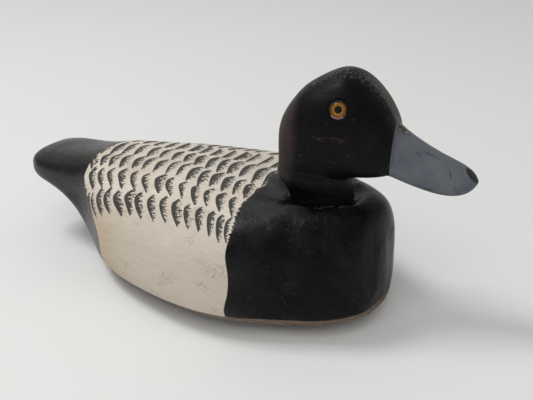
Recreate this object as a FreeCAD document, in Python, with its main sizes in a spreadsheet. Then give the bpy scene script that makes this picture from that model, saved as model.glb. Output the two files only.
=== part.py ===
import FreeCAD, Part
import math
import os
import Sketcher

# A hollow, hand-carved working decoy of a diving duck, as separate pieces.
# Frame: +X towards the breast, +Y to the duck's left, +Z up, millimetres.
# Origin: centre of the flat underside of the ballast strip, which the decoy stands on.
#
# The hull is carved as one form from two planks: a thick block, hollowed from below,
# and a thin bottom board that closes it. The head and bill are one carved piece. It sits
# on a flat seat on the deck and turns on a hardwood dowel, held by a lag screw that is
# driven from inside the hollow. Ballast and the tie for the anchor line are underneath.

doc = FreeCAD.newDocument("duck_decoy")
sheet = doc.addObject("Spreadsheet::Sheet", "sizes")

SIZES = (
    # hull
    ("body_length", 300, "tail tip to breast"),
    ("body_width", 162, "widest beam"),
    ("deck_height", 81.5, "board underside to the top of the deck"),
    ("balance_share", 0.567, "middle of the ballast, as a share of the body's length"),
    ("hull_waist", 0.48, "height of the widest line, as a share of a section's height"),
    ("hull_upper_power", 2.6, "roundness of a section above its widest line"),
    ("hull_lower_power", 4.0, "squareness of a section below its widest line"),
    ("board_thickness", 9, "bottom board"),
    ("hollow_share", 0.59, "centre of the hollow, as a share of the body's length"),
    ("hollow_length_share", 0.6, "hollow, along the hull, as a share of the body's length"),
    ("hollow_width_share", 0.59, "hollow, across the hull, as a share of the body's width"),
    ("deck_wall", 18, "wood left between the hollow and the neck seat"),
    # board nails
    ("nail_shank", 2.0, "diameter"),
    ("nail_head", 4.4, "diameter"),
    ("nail_head_height", 1.2, "height"),
    ("nail_length", 26, "under the head"),
    ("nail_inset", 6, "from the hollow's wall to the nails"),
    # neck joint
    ("neck_share", 0.843, "swivel axis, as a share of the body's length"),
    ("neck_diameter", 42, "base of the neck"),
    ("seat_drop", 6.5, "neck seat below the top of the deck"),
    ("seat_margin", 1.2, "seat beyond the neck's edge"),
    ("seat_slope", 1.6, "run of the dish around the seat, for each unit of its rise"),
    ("seat_gap", 0.3, "neck above its seat"),
    ("head_turn", 17, "degrees that the head is turned to the left"),
    ("dowel_diameter", 16, "neck dowel"),
    ("dowel_in_head", 30, "depth of the dowel in the head"),
    ("dowel_clearance", 0.08, "radial running clearance in the deck"),
    ("screw_shank", 6, "lag screw diameter"),
    ("screw_length", 46, "lag screw, under its head"),
    ("screw_flats", 10, "lag screw head across flats"),
    ("screw_head_height", 4, "lag screw head"),
    ("washer_diameter", 22, "outer diameter"),
    ("washer_thickness", 1.8, "thickness"),
    ("washer_play", 0.3, "radial, around the lag screw"),
    ("washer_gap", 0.3, "washer below the deck"),
    # head
    ("head_waist", 0.46, "height of the widest line, as a share of a section's height"),
    ("head_upper_power", 2.2, "roundness of the crown"),
    ("head_lower_power", 2.9, "roundness of the cheeks"),
    ("bill_waist", 0.28, "height of the widest line, as a share of a section's height"),
    ("bill_upper_power", 1.9, "roundness of the bill's top"),
    ("bill_lower_power", 3.2, "roundness of the bill's edges"),
    # eyes
    ("eye_forward", 14, "ahead of the swivel axis"),
    ("eye_height", 66.2, "above the neck's base"),
    ("eye_plane", 24.0, "front of the iris from the head's middle plane"),
    ("eye_tilt", 14, "degrees that each eye looks up"),
    ("eye_diameter", 9.6, "glass eye"),
    ("pupil_diameter", 4.8, "pupil"),
    ("iris_thickness", 1.3, "coloured back of the eye"),
    ("glass_edge", 0.5, "straight edge of the clear front"),
    ("glass_crown", 2.2, "rise of the clear front above its edge"),
    ("putty_wall", 1.0, "filler around the eye"),
    ("putty_floor", 1.0, "filler behind the eye"),
    ("putty_rim", 0.7, "filler above the front of the iris"),
    ("eye_wire_diameter", 1.2, "stem of the eye"),
    ("eye_wire_length", 12, "stem behind the eye"),
    # ballast
    ("ballast_length", 130, "along the hull"),
    ("ballast_width", 38, "across the hull"),
    ("ballast_thickness", 5, "cast strip"),
    ("ballast_screw_spacing", 90, "between the two screws"),
    ("ballast_screw_shank", 4, "diameter"),
    ("ballast_screw_head", 8.4, "diameter"),
    ("ballast_screw_sink", 0.5, "head below the strip's face"),
    ("ballast_screw_grip", 7.5, "depth in the board"),
    # line tie
    ("tie_share", 0.883, "staple, as a share of the body's length"),
    ("ring_wire", 2.0, "diameter"),
    ("ring_radius", 9.7, "to the middle of the wire"),
    ("ring_droop", 7, "degrees that the ring hangs down at its free side"),
    ("staple_wire", 1.8, "diameter"),
    ("staple_leg_offset", 2.7, "each leg from the ring's wire"),
    ("staple_corner", 1.5, "radius of the staple's bends, to the middle of the wire"),
    ("staple_in_board", 8, "depth of the legs"),
    ("tie_clearance", 0.3, "between the ring's wire and the board, and the staple"),
)

# The carved forms, as shares of the length, width and height of each. Heights of the
# hull are above the board's underside; the carver cuts it flat there, so a share below
# nought leaves a flat bottom with rounded lower edges.
HULL_STATIONS = (
    # name, along the length, full width, top, bottom
    ("tail_tip", 0.00, 0.17, 0.70, 0.61),
    ("tail_edge", 0.02, 0.32, 0.77, 0.53),
    ("tail_blade", 0.08, 0.39, 0.80, 0.47),
    ("tail_root", 0.17, 0.41, 0.85, 0.30),
    ("rump", 0.25, 0.49, 0.915, 0.04),
    ("flank", 0.35, 0.73, 0.945, -0.04),
    ("back", 0.50, 0.94, 0.975, -0.04),
    ("beam", 0.67, 1.00, 1.00, -0.04),
    ("shoulder", 0.78, 0.89, 0.99, -0.04),
    ("breast", 0.87, 0.70, 1.01, -0.04),
    ("breast_turn", 0.935, 0.55, 0.98, 0.005),
    ("breast_front", 0.97, 0.395, 0.935, 0.04),
    ("breast_nose", 0.99, 0.175, 0.77, 0.085),
    ("breast_tip", 1.00, 0.065, 0.61, 0.38),
)

# Head and bill, in millimetres from the swivel axis and above the neck's base.
HEAD_STATIONS = (
    # name, ahead of the axis, full width, top, bottom
    ("nape", -28, 12, 46, 31),
    ("nape_turn", -26, 24, 53.5, 23),
    ("head_back", -21, 37, 62.5, 17.5),
    ("head_rear", -11, 49, 73.5, 16),
    ("head_middle", 1, 54, 82, 16.5),
    ("crown", 13, 55.5, 86.5, 17.5),
    ("brow", 25, 53, 83.5, 18.5),
    ("forehead", 35, 47.5, 75.5, 19.5),
    ("lores", 42, 42, 66, 21),
    ("face_front", 47, 36, 55, 22.5),
)
BILL_STATIONS = (
    ("bill_tenon", 37, 32, 56, 22.5),
    ("bill_root", 47, 33, 54, 21),
    ("bill_saddle", 54, 31, 48.5, 18.5),
    ("bill_middle", 68, 32, 40, 15),
    ("bill_spoon", 84, 34.5, 32, 14.5),
    ("bill_round", 92, 29, 27.5, 16.5),
    ("bill_nail", 97, 16, 23.5, 19),
    ("bill_tip", 99, 5, 21.5, 20),
)
NECK_STATIONS = (
    # name, height, back, front, full width
    ("neck_low", 7, -23, 20, 41),
    ("neck_mid", 15, -25.5, 20.5, 42),
    ("neck_high", 25, -26.5, 19, 43),
    ("neck_top", 33, -26, 17, 41),
)

RING_POINTS = 32
NAIL_ANGLES = (28, 62, 118, 152)
THROUGH = 400

cells = {}


def add_cell(alias, value, note):
    """Write one driving size as a row: its name, its value and what it is."""
    row = len(cells) + 1
    sheet.set("A%d" % row, alias)
    sheet.set("B%d" % row, str(value))
    sheet.set("C%d" % row, note)
    sheet.setAlias("B%d" % row, alias)
    cells[alias] = "B%d" % row


def fill_sheet():
    for alias, value, note in SIZES:
        add_cell(alias, value, note)
    for stations in (HULL_STATIONS, HEAD_STATIONS, BILL_STATIONS):
        for name, at, width, top, bottom in stations:
            add_cell(name + "_at", at, "place along the form")
            add_cell(name + "_width", width, "full width")
            add_cell(name + "_top", top, "upper line")
            add_cell(name + "_bottom", bottom, "lower line")
    for name, height, back, front, width in NECK_STATIONS:
        add_cell(name + "_height", height, "above the neck's base")
        add_cell(name + "_back", back, "rear of the neck")
        add_cell(name + "_front", front, "front of the neck")
        add_cell(name + "_width", width, "full width")
    doc.recompute()


def size(alias):
    return float(sheet.get(alias))


# ---------------------------------------------------------------- places worked out

def hull_x(share):
    """X of a place along the hull, given as a share of its length from the tail."""
    return (share - size("balance_share")) * size("body_length")


def hull_z(share):
    return underside + share * size("deck_height")


# ---------------------------------------------------------------- carved forms

def oval_points(half_width, low, high, waist, upper_power, lower_power):
    """(across, up) points round a carved section: rounder above, squarer below."""
    middle = low + waist * (high - low)
    points = []
    for number in range(RING_POINTS):
        angle = 2 * math.pi * number / RING_POINTS
        across, up = math.cos(angle), math.sin(angle)
        power = upper_power if up >= 0 else lower_power
        reach = high - middle if up >= 0 else middle - low
        points.append((
            half_width * math.copysign(abs(across) ** (2 / power), across),
            middle + reach * math.copysign(abs(up) ** (2 / power), up),
        ))
    return points


def closed_wire(points):
    curve = Part.BSplineCurve()
    curve.interpolate(points, PeriodicFlag=True)
    return Part.Wire([curve.toShape()])


def carved_form(names, place_x, place_z, width_scale, shape_values):
    """Loft through upright sections that follow each other along X."""
    wires = []
    for name in names:
        x = place_x(size(name + "_at"))
        oval = oval_points(
            size(name + "_width") * width_scale / 2,
            place_z(size(name + "_bottom")),
            place_z(size(name + "_top")),
            *shape_values)
        wires.append(closed_wire([FreeCAD.Vector(x, y, z) for y, z in oval]))
    return Part.makeLoft(wires, True, False)


def hull_form():
    names = [row[0] for row in HULL_STATIONS]
    shape_values = (size("hull_waist"), size("hull_upper_power"), size("hull_lower_power"))
    hull = carved_form(names, hull_x, hull_z, size("body_width"), shape_values)
    seat_radius = size("neck_diameter") / 2 + size("seat_margin")
    rise = 2 * size("seat_drop")
    dish = Part.makeCone(
        seat_radius, seat_radius + rise * size("seat_slope"), rise,
        FreeCAD.Vector(neck_x, 0, seat_z))
    return hull.cut(dish)


def slab(low, high):
    """Everything between two heights."""
    return Part.makeBox(
        2 * THROUGH, 2 * THROUGH, high - low, FreeCAD.Vector(-THROUGH, -THROUGH, low))


def upright(radius, low, high, x=0.0, y=0.0):
    return Part.makeCylinder(radius, high - low, FreeCAD.Vector(x, y, low))


def hollow_form():
    rim = Part.Ellipse(
        FreeCAD.Vector(hollow_x, 0, board_top), hollow_length / 2, hollow_width / 2)
    face = Part.Face(Part.Wire([rim.toShape()]))
    return face.extrude(FreeCAD.Vector(0, 0, ceiling_z - board_top))


def nail_places():
    reach = hollow_length / 2 + size("nail_inset")
    spread = hollow_width / 2 + size("nail_inset")
    for side in (1, -1):
        for degrees in NAIL_ANGLES:
            angle = math.radians(degrees)
            yield hollow_x + reach * math.cos(angle), side * spread * math.sin(angle)


def nail_form(x, y):
    head_top = underside + size("nail_head_height")
    head = upright(size("nail_head") / 2, underside, head_top, x, y)
    shank = upright(size("nail_shank") / 2, head_top, head_top + size("nail_length"), x, y)
    return head.fuse(shank).removeSplitter()


def ballast_screw_form(x):
    shank_radius = size("ballast_screw_shank") / 2
    head_radius = size("ballast_screw_head") / 2
    sink = size("ballast_screw_sink")
    cone = Part.makeCone(
        head_radius, shank_radius, head_radius - shank_radius, FreeCAD.Vector(x, 0, sink))
    tip = underside + size("ballast_screw_grip")
    shank = upright(shank_radius, sink + head_radius - shank_radius, tip, x)
    return cone.fuse(shank).removeSplitter()


def ballast_screw_places():
    half = size("ballast_screw_spacing") / 2
    return (-half, half)


def staple_leg_places():
    return (tie_x - size("staple_leg_offset"), tie_x + size("staple_leg_offset"))


def make_feature(label, shape, placement=None):
    feature = doc.addObject("Part::Feature", label)
    feature.Label = label
    feature.Shape = shape
    if placement is not None:
        feature.Placement = placement
    return feature


def make_body_block(hull, nails):
    block = hull.common(slab(board_top, THROUGH)).cut(hollow_form())
    bore_radius = size("dowel_diameter") / 2 + size("dowel_clearance")
    block = block.cut(upright(bore_radius, ceiling_z - 1, seat_z + 1, neck_x))
    return make_feature("body_block", block.cut(nails))


def make_bottom_board(hull, nails):
    board = hull.common(slab(underside, board_top)).cut(nails)
    for x in ballast_screw_places():
        board = board.cut(upright(
            size("ballast_screw_shank") / 2, underside, underside + size("ballast_screw_grip"), x))
    for x in staple_leg_places():
        board = board.cut(upright(
            size("staple_wire") / 2, underside, underside + size("staple_in_board"), x))
    return make_feature("bottom_board", board)


def make_head():
    as_is = lambda value: value
    loaf = carved_form(
        [row[0] for row in HEAD_STATIONS], as_is, as_is, 1,
        (size("head_waist"), size("head_upper_power"), size("head_lower_power")))
    bill = carved_form(
        [row[0] for row in BILL_STATIONS], as_is, as_is, 1,
        (size("bill_waist"), size("bill_upper_power"), size("bill_lower_power")))
    head = loaf.fuse([bill, neck_form()])
    head = head.cut(upright(size("dowel_diameter") / 2, 0, size("dowel_in_head")))
    for side in (1, -1):
        head = head.cut(eye_socket(side))
    return make_feature("head", head, head_placement)


def neck_form():
    half = size("neck_diameter") / 2
    rings = [(0, -half, half, 2 * half)]
    for row in NECK_STATIONS:
        name = row[0]
        rings.append([size(name + end) for end in ("_height", "_back", "_front", "_width")])
    wires = []
    for height, back, front, width in rings:
        oval = oval_points(width / 2, back, front, 0.5, 2, 2)
        wires.append(closed_wire([FreeCAD.Vector(x, y, height) for y, x in oval]))
    return Part.makeLoft(wires, True, False)


def eye_axis(side):
    """Out of the head through one eye; side is 1 on the left, -1 on the right."""
    tilt = math.radians(size("eye_tilt"))
    return FreeCAD.Vector(0, side * math.cos(tilt), math.sin(tilt))


def eye_centre(side):
    return FreeCAD.Vector(size("eye_forward"), side * size("eye_plane"), size("eye_height"))


def eye_socket(side):
    """Room for one eye: the filler's bore and a fine hole for the stem."""
    out = eye_axis(side)
    floor = size("iris_thickness") + size("putty_floor")
    stem_end = size("iris_thickness") + size("eye_wire_length")
    bore = Part.makeCylinder(putty_radius, THROUGH, eye_centre(side) - out * floor, out)
    stem = Part.makeCylinder(
        size("eye_wire_diameter") / 2, stem_end - floor, eye_centre(side) - out * stem_end, out)
    return bore.fuse(stem)


# ---------------------------------------------------------------- sketched pieces

def new_body(label, placement):
    body = doc.addObject("PartDesign::Body", label)
    body.Label = label
    body.Placement = placement
    return body


def new_sketch(body, name, role, height=None):
    sketch = body.newObject("Sketcher::SketchObject", name)
    plane = [item for item in body.Origin.OriginFeatures if item.Role == role][0]
    sketch.AttachmentSupport = [(plane, "")]
    sketch.MapMode = "FlatFace"
    if height is not None:
        sketch.setExpression("AttachmentOffset.Base.z", height)
    return sketch


def bind(sketch, kind, arguments, name, expression):
    """Add one driving constraint and bind it to the sheet."""
    index = sketch.addConstraint(Sketcher.Constraint(kind, *arguments))
    sketch.renameConstraint(index, name)
    sketch.setExpression("Constraints." + name, expression)


def add_circle(sketch, name, expression, rough_radius):
    """A circle centred on the sketch's origin."""
    circle = Part.Circle(FreeCAD.Vector(0, 0, 0), FreeCAD.Vector(0, 0, 1), rough_radius)
    index = sketch.addGeometry(circle, False)
    sketch.addConstraint(Sketcher.Constraint("Coincident", index, 3, -1, 1))
    bind(sketch, "Diameter", (index, 2 * rough_radius), name, expression)
    return index


def pad(body, sketch, name, expression):
    feature = body.newObject("PartDesign::Pad", name)
    feature.Profile = sketch
    feature.setExpression("Length", expression)
    return feature


def disc_body(label, placement, outer, thickness, inner=None):
    """A round piece, with a round hole if inner is given."""
    body = new_body(label, placement)
    sketch = new_sketch(body, label + "_sketch", "XY_Plane")
    add_circle(sketch, "outer", outer, 10)
    if inner is not None:
        add_circle(sketch, "inner", inner, 2)
    pad(body, sketch, label + "_pad", thickness)
    return body


def revolved_body(label, placement, corners, arcs=()):
    """Turn an outline about its Z axis. A corner is (radius, height), two expressions.

    arcs lists the edges that bulge, as (edge number, radius expression): each is the
    arc of a circle whose middle lies on the axis.
    """
    body = new_body(label, placement)
    sketch = new_sketch(body, label + "_sketch", "XZ_Plane")
    places = [[sheet_value(part) for part in corner] for corner in corners]
    count = len(corners)
    bulges = dict(arcs)
    for number in range(count):
        start, end = places[number], places[(number + 1) % count]
        if number in bulges:
            radius = sheet_value(bulges[number])
            middle = FreeCAD.Vector(0, end[1] - radius, 0)
            angle = math.atan2(start[1] - middle.y, start[0])
            edge = Part.ArcOfCircle(
                Part.Circle(middle, FreeCAD.Vector(0, 0, 1), radius), angle, math.pi / 2)
        else:
            edge = Part.LineSegment(
                FreeCAD.Vector(start[0], start[1], 0), FreeCAD.Vector(end[0], end[1], 0))
        sketch.addGeometry(edge, False)
    for number in range(count):
        following = (number + 1) % count
        sketch.addConstraint(Sketcher.Constraint("Coincident", number, 2, following, 1))
        for axis, part in enumerate(corners[number]):
            kind = ("DistanceX", "DistanceY")[axis]
            value = places[number][axis]
            if value == 0:
                line = (-2, -1)[axis]
                sketch.addConstraint(Sketcher.Constraint("PointOnObject", number, 1, line))
            else:
                bind(sketch, kind, (-1, 1, number, 1, value), "%s_%d" % (kind, number), part)
    for number in bulges:
        sketch.addConstraint(Sketcher.Constraint("PointOnObject", number, 3, -2))
    turn = body.newObject("PartDesign::Revolution", label + "_turn")
    turn.Profile = sketch
    turn.ReferenceAxis = (sketch, ["V_Axis"])
    turn.Angle = 360
    return body


def sheet_value(expression):
    """The number that an expression of sheet values comes to."""
    return float(sheet.evalExpression(expression))


def make_ballast_weight():
    body = new_body("ballast_weight", FreeCAD.Placement())
    sketch = new_sketch(body, "ballast_outline", "XY_Plane")
    half_width = size("ballast_width") / 2
    straight = size("ballast_length") / 2 - half_width
    up = FreeCAD.Vector(0, 0, 1)
    lower = Part.LineSegment(
        FreeCAD.Vector(-straight, -half_width, 0), FreeCAD.Vector(straight, -half_width, 0))
    upper = Part.LineSegment(
        FreeCAD.Vector(straight, half_width, 0), FreeCAD.Vector(-straight, half_width, 0))
    front = Part.ArcOfCircle(
        Part.Circle(FreeCAD.Vector(straight, 0, 0), up, half_width), -math.pi / 2, math.pi / 2)
    rear = Part.ArcOfCircle(
        Part.Circle(FreeCAD.Vector(-straight, 0, 0), up, half_width), math.pi / 2, 1.5 * math.pi)
    for edge in (lower, front, upper, rear):
        sketch.addGeometry(edge, False)
    for first, second in ((0, 1), (1, 2), (2, 3), (3, 0)):
        sketch.addConstraint(Sketcher.Constraint("Tangent", first, 2, second, 1))
    sketch.addConstraint(Sketcher.Constraint("Horizontal", 0))
    sketch.addConstraint(Sketcher.Constraint("Symmetric", 1, 3, 3, 3, -1, 1))
    bind(sketch, "DistanceY", (1, 1, 1, 2, 2 * half_width), "width", "sizes.ballast_width")
    bind(sketch, "DistanceX", (3, 3, 1, 3, 2 * straight), "middles",
         "sizes.ballast_length - sizes.ballast_width")
    pad(body, sketch, "ballast_strip", "sizes.ballast_thickness")
    for number, x in enumerate(ballast_screw_places()):
        drill_ballast(body, number, x)
    return body


def drill_ballast(body, number, x):
    """A countersunk hole for one ballast screw, turned out of the strip."""
    sketch = new_sketch(body, "ballast_hole_%d" % number, "XZ_Plane")
    shank = size("ballast_screw_shank") / 2
    head = size("ballast_screw_head") / 2
    sink = size("ballast_screw_sink")
    top = size("ballast_thickness")
    outline = ((0, 0), (head, 0), (head, sink), (shank, sink + head - shank), (shank, top), (0, top))
    points = [FreeCAD.Vector(x + radius, height, 0) for radius, height in outline]
    for index, start in enumerate(points):
        end = points[(index + 1) % len(points)]
        sketch.addGeometry(Part.LineSegment(start, end), False)
    for index in range(len(points)):
        following = (index + 1) % len(points)
        sketch.addConstraint(Sketcher.Constraint("Coincident", index, 2, following, 1))
    side = "-" if x < 0 else ""
    bind(sketch, "DistanceX", (-1, 1, 0, 1, x), "place",
         side + "sizes.ballast_screw_spacing / 2")
    sketch.addConstraint(Sketcher.Constraint("PointOnObject", 0, 1, -1))
    for index in (0, 4):
        sketch.addConstraint(Sketcher.Constraint("Horizontal", index))
    for index in (1, 3, 5):
        sketch.addConstraint(Sketcher.Constraint("Vertical", index))
    bind(sketch, "DistanceX", (0, 1, 0, 2, head), "head", "sizes.ballast_screw_head / 2")
    bind(sketch, "DistanceX", (5, 1, 4, 1, shank), "shank", "sizes.ballast_screw_shank / 2")
    bind(sketch, "DistanceY", (1, 1, 1, 2, sink), "sink", "sizes.ballast_screw_sink")
    bind(sketch, "DistanceY", (2, 1, 2, 2, head - shank), "cone",
         "sizes.ballast_screw_head / 2 - sizes.ballast_screw_shank / 2")
    bind(sketch, "DistanceY", (5, 2, 5, 1, top), "depth", "sizes.ballast_thickness")
    groove = body.newObject("PartDesign::Groove", "ballast_drilling_%d" % number)
    groove.Profile = sketch
    groove.ReferenceAxis = (sketch, ["Edge6"])
    groove.Angle = 360
    return groove


def make_neck_dowel():
    length = "sizes.dowel_in_head + sizes.seat_gap + sizes.deck_wall"
    place = FreeCAD.Placement(FreeCAD.Vector(neck_x, 0, ceiling_z), FreeCAD.Rotation())
    body = disc_body("neck_dowel", place, "sizes.dowel_diameter", length)
    sketch = new_sketch(body, "dowel_pilot", "XY_Plane")
    add_circle(sketch, "pilot", "sizes.screw_shank", 3)
    pilot = body.newObject("PartDesign::Pocket", "dowel_pilot_hole")
    pilot.Profile = sketch
    pilot.Reversed = True
    pilot.setExpression(
        "Length", "sizes.screw_length - sizes.washer_thickness - sizes.washer_gap")
    return body


def make_neck_washer():
    height = ceiling_z - size("washer_gap") - size("washer_thickness")
    place = FreeCAD.Placement(FreeCAD.Vector(neck_x, 0, height), FreeCAD.Rotation())
    return disc_body(
        "neck_washer", place, "sizes.washer_diameter", "sizes.washer_thickness",
        "sizes.screw_shank + 2 * sizes.washer_play")


def make_neck_screw():
    """A lag screw: hexagon head below the washer, shank up through the dowel."""
    height = ceiling_z - size("washer_gap") - size("washer_thickness")
    place = FreeCAD.Placement(FreeCAD.Vector(neck_x, 0, height), FreeCAD.Rotation())
    body = disc_body("neck_screw", place, "sizes.screw_shank", "sizes.screw_length")
    sketch = new_sketch(body, "screw_hexagon", "XY_Plane")
    corner = size("screw_flats") / math.sqrt(3)
    points = [
        FreeCAD.Vector(corner * math.cos(math.radians(60 * k)),
                       corner * math.sin(math.radians(60 * k)), 0) for k in range(6)]
    for k in range(6):
        sketch.addGeometry(Part.LineSegment(points[k], points[(k + 1) % 6]), False)
    for k in range(6):
        sketch.addConstraint(Sketcher.Constraint("Coincident", k, 2, (k + 1) % 6, 1))
    guide = sketch.addGeometry(
        Part.Circle(FreeCAD.Vector(0, 0, 0), FreeCAD.Vector(0, 0, 1), corner), True)
    sketch.addConstraint(Sketcher.Constraint("Coincident", guide, 3, -1, 1))
    for k in range(6):
        sketch.addConstraint(Sketcher.Constraint("PointOnObject", k, 1, guide))
    for k in range(5):
        sketch.addConstraint(Sketcher.Constraint("Equal", k, k + 1))
    sketch.addConstraint(Sketcher.Constraint("PointOnObject", 0, 1, -1))
    bind(sketch, "Diameter", (guide, 2 * corner), "corners", "sizes.screw_flats * 2 / sqrt(3)")
    head = pad(body, sketch, "screw_head", "sizes.screw_head_height")
    head.Reversed = True
    return body


def make_line_tie_ring():
    ring = doc.addObject("Part::Torus", "line_tie_ring")
    ring.Label = "line_tie_ring"
    ring.setExpression("Radius1", "sizes.ring_radius")
    ring.setExpression("Radius2", "sizes.ring_wire / 2")
    tilt = FreeCAD.Rotation(FreeCAD.Vector(0, 1, 0), -size("ring_droop"))
    pivot = FreeCAD.Vector(tie_x, 0, ring_z)
    ring.Placement = FreeCAD.Placement(
        pivot + tilt.multVec(FreeCAD.Vector(-size("ring_radius"), 0, 0)), tilt)
    return ring


def make_line_tie_staple():
    """Round wire bent to a U: two legs up into the board, the crown below the ring."""
    body = new_body("line_tie_staple", FreeCAD.Placement(
        FreeCAD.Vector(tie_x, 0, crown_z), FreeCAD.Rotation()))
    path = new_sketch(body, "staple_path", "XZ_Plane")
    half = size("staple_leg_offset")
    corner = size("staple_corner")
    top = underside + size("staple_in_board") - crown_z
    up = FreeCAD.Vector(0, 0, 1)
    left = Part.LineSegment(FreeCAD.Vector(-half, top, 0), FreeCAD.Vector(-half, corner, 0))
    left_bend = Part.ArcOfCircle(
        Part.Circle(FreeCAD.Vector(corner - half, corner, 0), up, corner), math.pi, 1.5 * math.pi)
    crown = Part.LineSegment(
        FreeCAD.Vector(corner - half, 0, 0), FreeCAD.Vector(half - corner, 0, 0))
    right_bend = Part.ArcOfCircle(
        Part.Circle(FreeCAD.Vector(half - corner, corner, 0), up, corner), -math.pi / 2, 0)
    right = Part.LineSegment(FreeCAD.Vector(half, corner, 0), FreeCAD.Vector(half, top, 0))
    for edge in (left, left_bend, crown, right_bend, right):
        path.addGeometry(edge, False)
    for first in range(4):
        path.addConstraint(Sketcher.Constraint("Tangent", first, 2, first + 1, 1))
    path.addConstraint(Sketcher.Constraint("Vertical", 0))
    path.addConstraint(Sketcher.Constraint("Vertical", 4))
    path.addConstraint(Sketcher.Constraint("PointOnObject", 2, 1, -1))
    path.addConstraint(Sketcher.Constraint("Equal", 1, 3))
    path.addConstraint(Sketcher.Constraint("Equal", 0, 4))
    path.addConstraint(Sketcher.Constraint("Symmetric", 0, 1, 4, 2, -2))
    bind(path, "Radius", (1, corner), "bend", "sizes.staple_corner")
    bind(path, "DistanceX", (0, 1, 4, 2, 2 * half), "legs", "2 * sizes.staple_leg_offset")
    bind(path, "DistanceY", (-1, 1, 4, 2, top), "reach",
         "sizes.staple_in_board + 2 * sizes.tie_clearance + sizes.ring_wire"
         " + sizes.staple_wire / 2")
    section = new_sketch(
        body, "staple_section", "XY_Plane",
        "sizes.staple_in_board + 2 * sizes.tie_clearance + sizes.ring_wire"
        " + sizes.staple_wire / 2")
    circle = section.addGeometry(
        Part.Circle(FreeCAD.Vector(-half, 0, 0), up, size("staple_wire") / 2), False)
    section.addConstraint(Sketcher.Constraint("PointOnObject", circle, 3, -1))
    bind(section, "DistanceX", (circle, 3, -1, 1, half), "place", "sizes.staple_leg_offset")
    bind(section, "Diameter", (circle, size("staple_wire")), "wire", "sizes.staple_wire")
    pipe = body.newObject("PartDesign::AdditivePipe", "staple_wire")
    pipe.Profile = section
    pipe.Spine = (path, ["Edge1", "Edge2", "Edge3", "Edge4", "Edge5"])
    return body


def eye_placement(side):
    """Z out of the head, at the front of one iris."""
    outwards = FreeCAD.Rotation(FreeCAD.Vector(1, 0, 0), side * (size("eye_tilt") - 90))
    return head_placement.multiply(FreeCAD.Placement(eye_centre(side), outwards))


def behind(placement, depth):
    back = FreeCAD.Placement(FreeCAD.Vector(0, 0, -depth), FreeCAD.Rotation())
    return placement.multiply(back)


def make_eye(name, side):
    front = eye_placement(side)
    iris_back = behind(front, size("iris_thickness"))
    stem_end = behind(iris_back, size("eye_wire_length"))
    eye = "sizes.eye_diameter"
    pupil = "sizes.pupil_diameter"
    stem = "sizes.eye_wire_diameter"
    edge = "sizes.glass_edge"
    crown = "sizes.glass_crown"
    dome = "((%s / 2) ^ 2 + %s ^ 2) / (2 * %s)" % (eye, crown, crown)
    glass = revolved_body(
        name + "_eye_glass", front,
        (("0", "0"), (eye + " / 2", "0"), (eye + " / 2", edge), ("0", edge + " + " + crown)),
        ((2, dome),))
    iris = disc_body(name + "_eye_iris", iris_back, eye, "sizes.iris_thickness", pupil)
    black = disc_body(name + "_eye_pupil", iris_back, pupil, "sizes.iris_thickness")
    wire = disc_body(name + "_eye_wire", stem_end, stem, "sizes.eye_wire_length")
    outer = "(%s / 2 + sizes.putty_wall)" % eye
    floor = "sizes.putty_floor"
    rim = "(%s + sizes.iris_thickness + sizes.putty_rim)" % floor
    putty = revolved_body(
        name + "_eye_putty", behind(iris_back, size("putty_floor")),
        ((stem + " / 2", "0"), (outer, "0"), (outer, rim), (eye + " / 2", rim),
         (eye + " / 2", floor), (stem + " / 2", floor)))
    return [glass, iris, black, wire, putty]


# ---------------------------------------------------------------- the decoy

fill_sheet()
underside = size("ballast_thickness")
board_top = underside + size("board_thickness")
neck_x = hull_x(size("neck_share"))
seat_z = underside + size("deck_height") - size("seat_drop")
ceiling_z = seat_z - size("deck_wall")
hollow_x = hull_x(size("hollow_share"))
hollow_length = size("hollow_length_share") * size("body_length")
hollow_width = size("hollow_width_share") * size("body_width")
tie_x = hull_x(size("tie_share"))
ring_z = underside - size("tie_clearance") - size("ring_wire") / 2
crown_z = ring_z - size("ring_wire") / 2 - size("tie_clearance") - size("staple_wire") / 2
putty_radius = size("eye_diameter") / 2 + size("putty_wall")
head_placement = FreeCAD.Placement(
    FreeCAD.Vector(neck_x, 0, seat_z + size("seat_gap")),
    FreeCAD.Rotation(FreeCAD.Vector(0, 0, 1), size("head_turn")))

hull_shape = hull_form()
nail_shapes = Part.makeCompound([nail_form(x, y) for x, y in nail_places()])
screw_shapes = Part.makeCompound([ballast_screw_form(x) for x in ballast_screw_places()])

pieces = [
    make_body_block(hull_shape, nail_shapes),
    make_bottom_board(hull_shape, nail_shapes),
    make_feature("bottom_board_nails", nail_shapes),
    make_ballast_weight(),
    make_feature("ballast_screws", screw_shapes),
    make_line_tie_staple(),
    make_line_tie_ring(),
    make_head(),
    make_neck_dowel(),
    make_neck_screw(),
    make_neck_washer(),
]
pieces += make_eye("left", 1)
pieces += make_eye("right", -1)

doc.recompute()
for item in doc.Objects:
    if "Invalid" in item.State or "Error" in item.State:
        raise RuntimeError("%s did not build: %s" % (item.Name, item.State))

os.makedirs("parts", exist_ok=True)
for piece in pieces:
    if piece.Shape.isNull() or not piece.Shape.isValid():
        raise RuntimeError("%s has no valid shape" % piece.Label)
    piece.Shape.exportStep("parts/%s.step" % piece.Label)
    box = piece.Shape.BoundBox
    print("%-20s %9.0f mm3  solids %d  x %.1f..%.1f  y %.1f..%.1f  z %.1f..%.1f" % (
        piece.Label, piece.Shape.Volume, len(piece.Shape.Solids),
        box.XMin, box.XMax, box.YMin, box.YMax, box.ZMin, box.ZMax))
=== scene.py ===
import math
from collections import namedtuple
from types import SimpleNamespace

import bmesh
import bpy
import numpy as np
from mathutils import Matrix, Vector, noise
from mathutils.bvhtree import BVHTree


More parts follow.
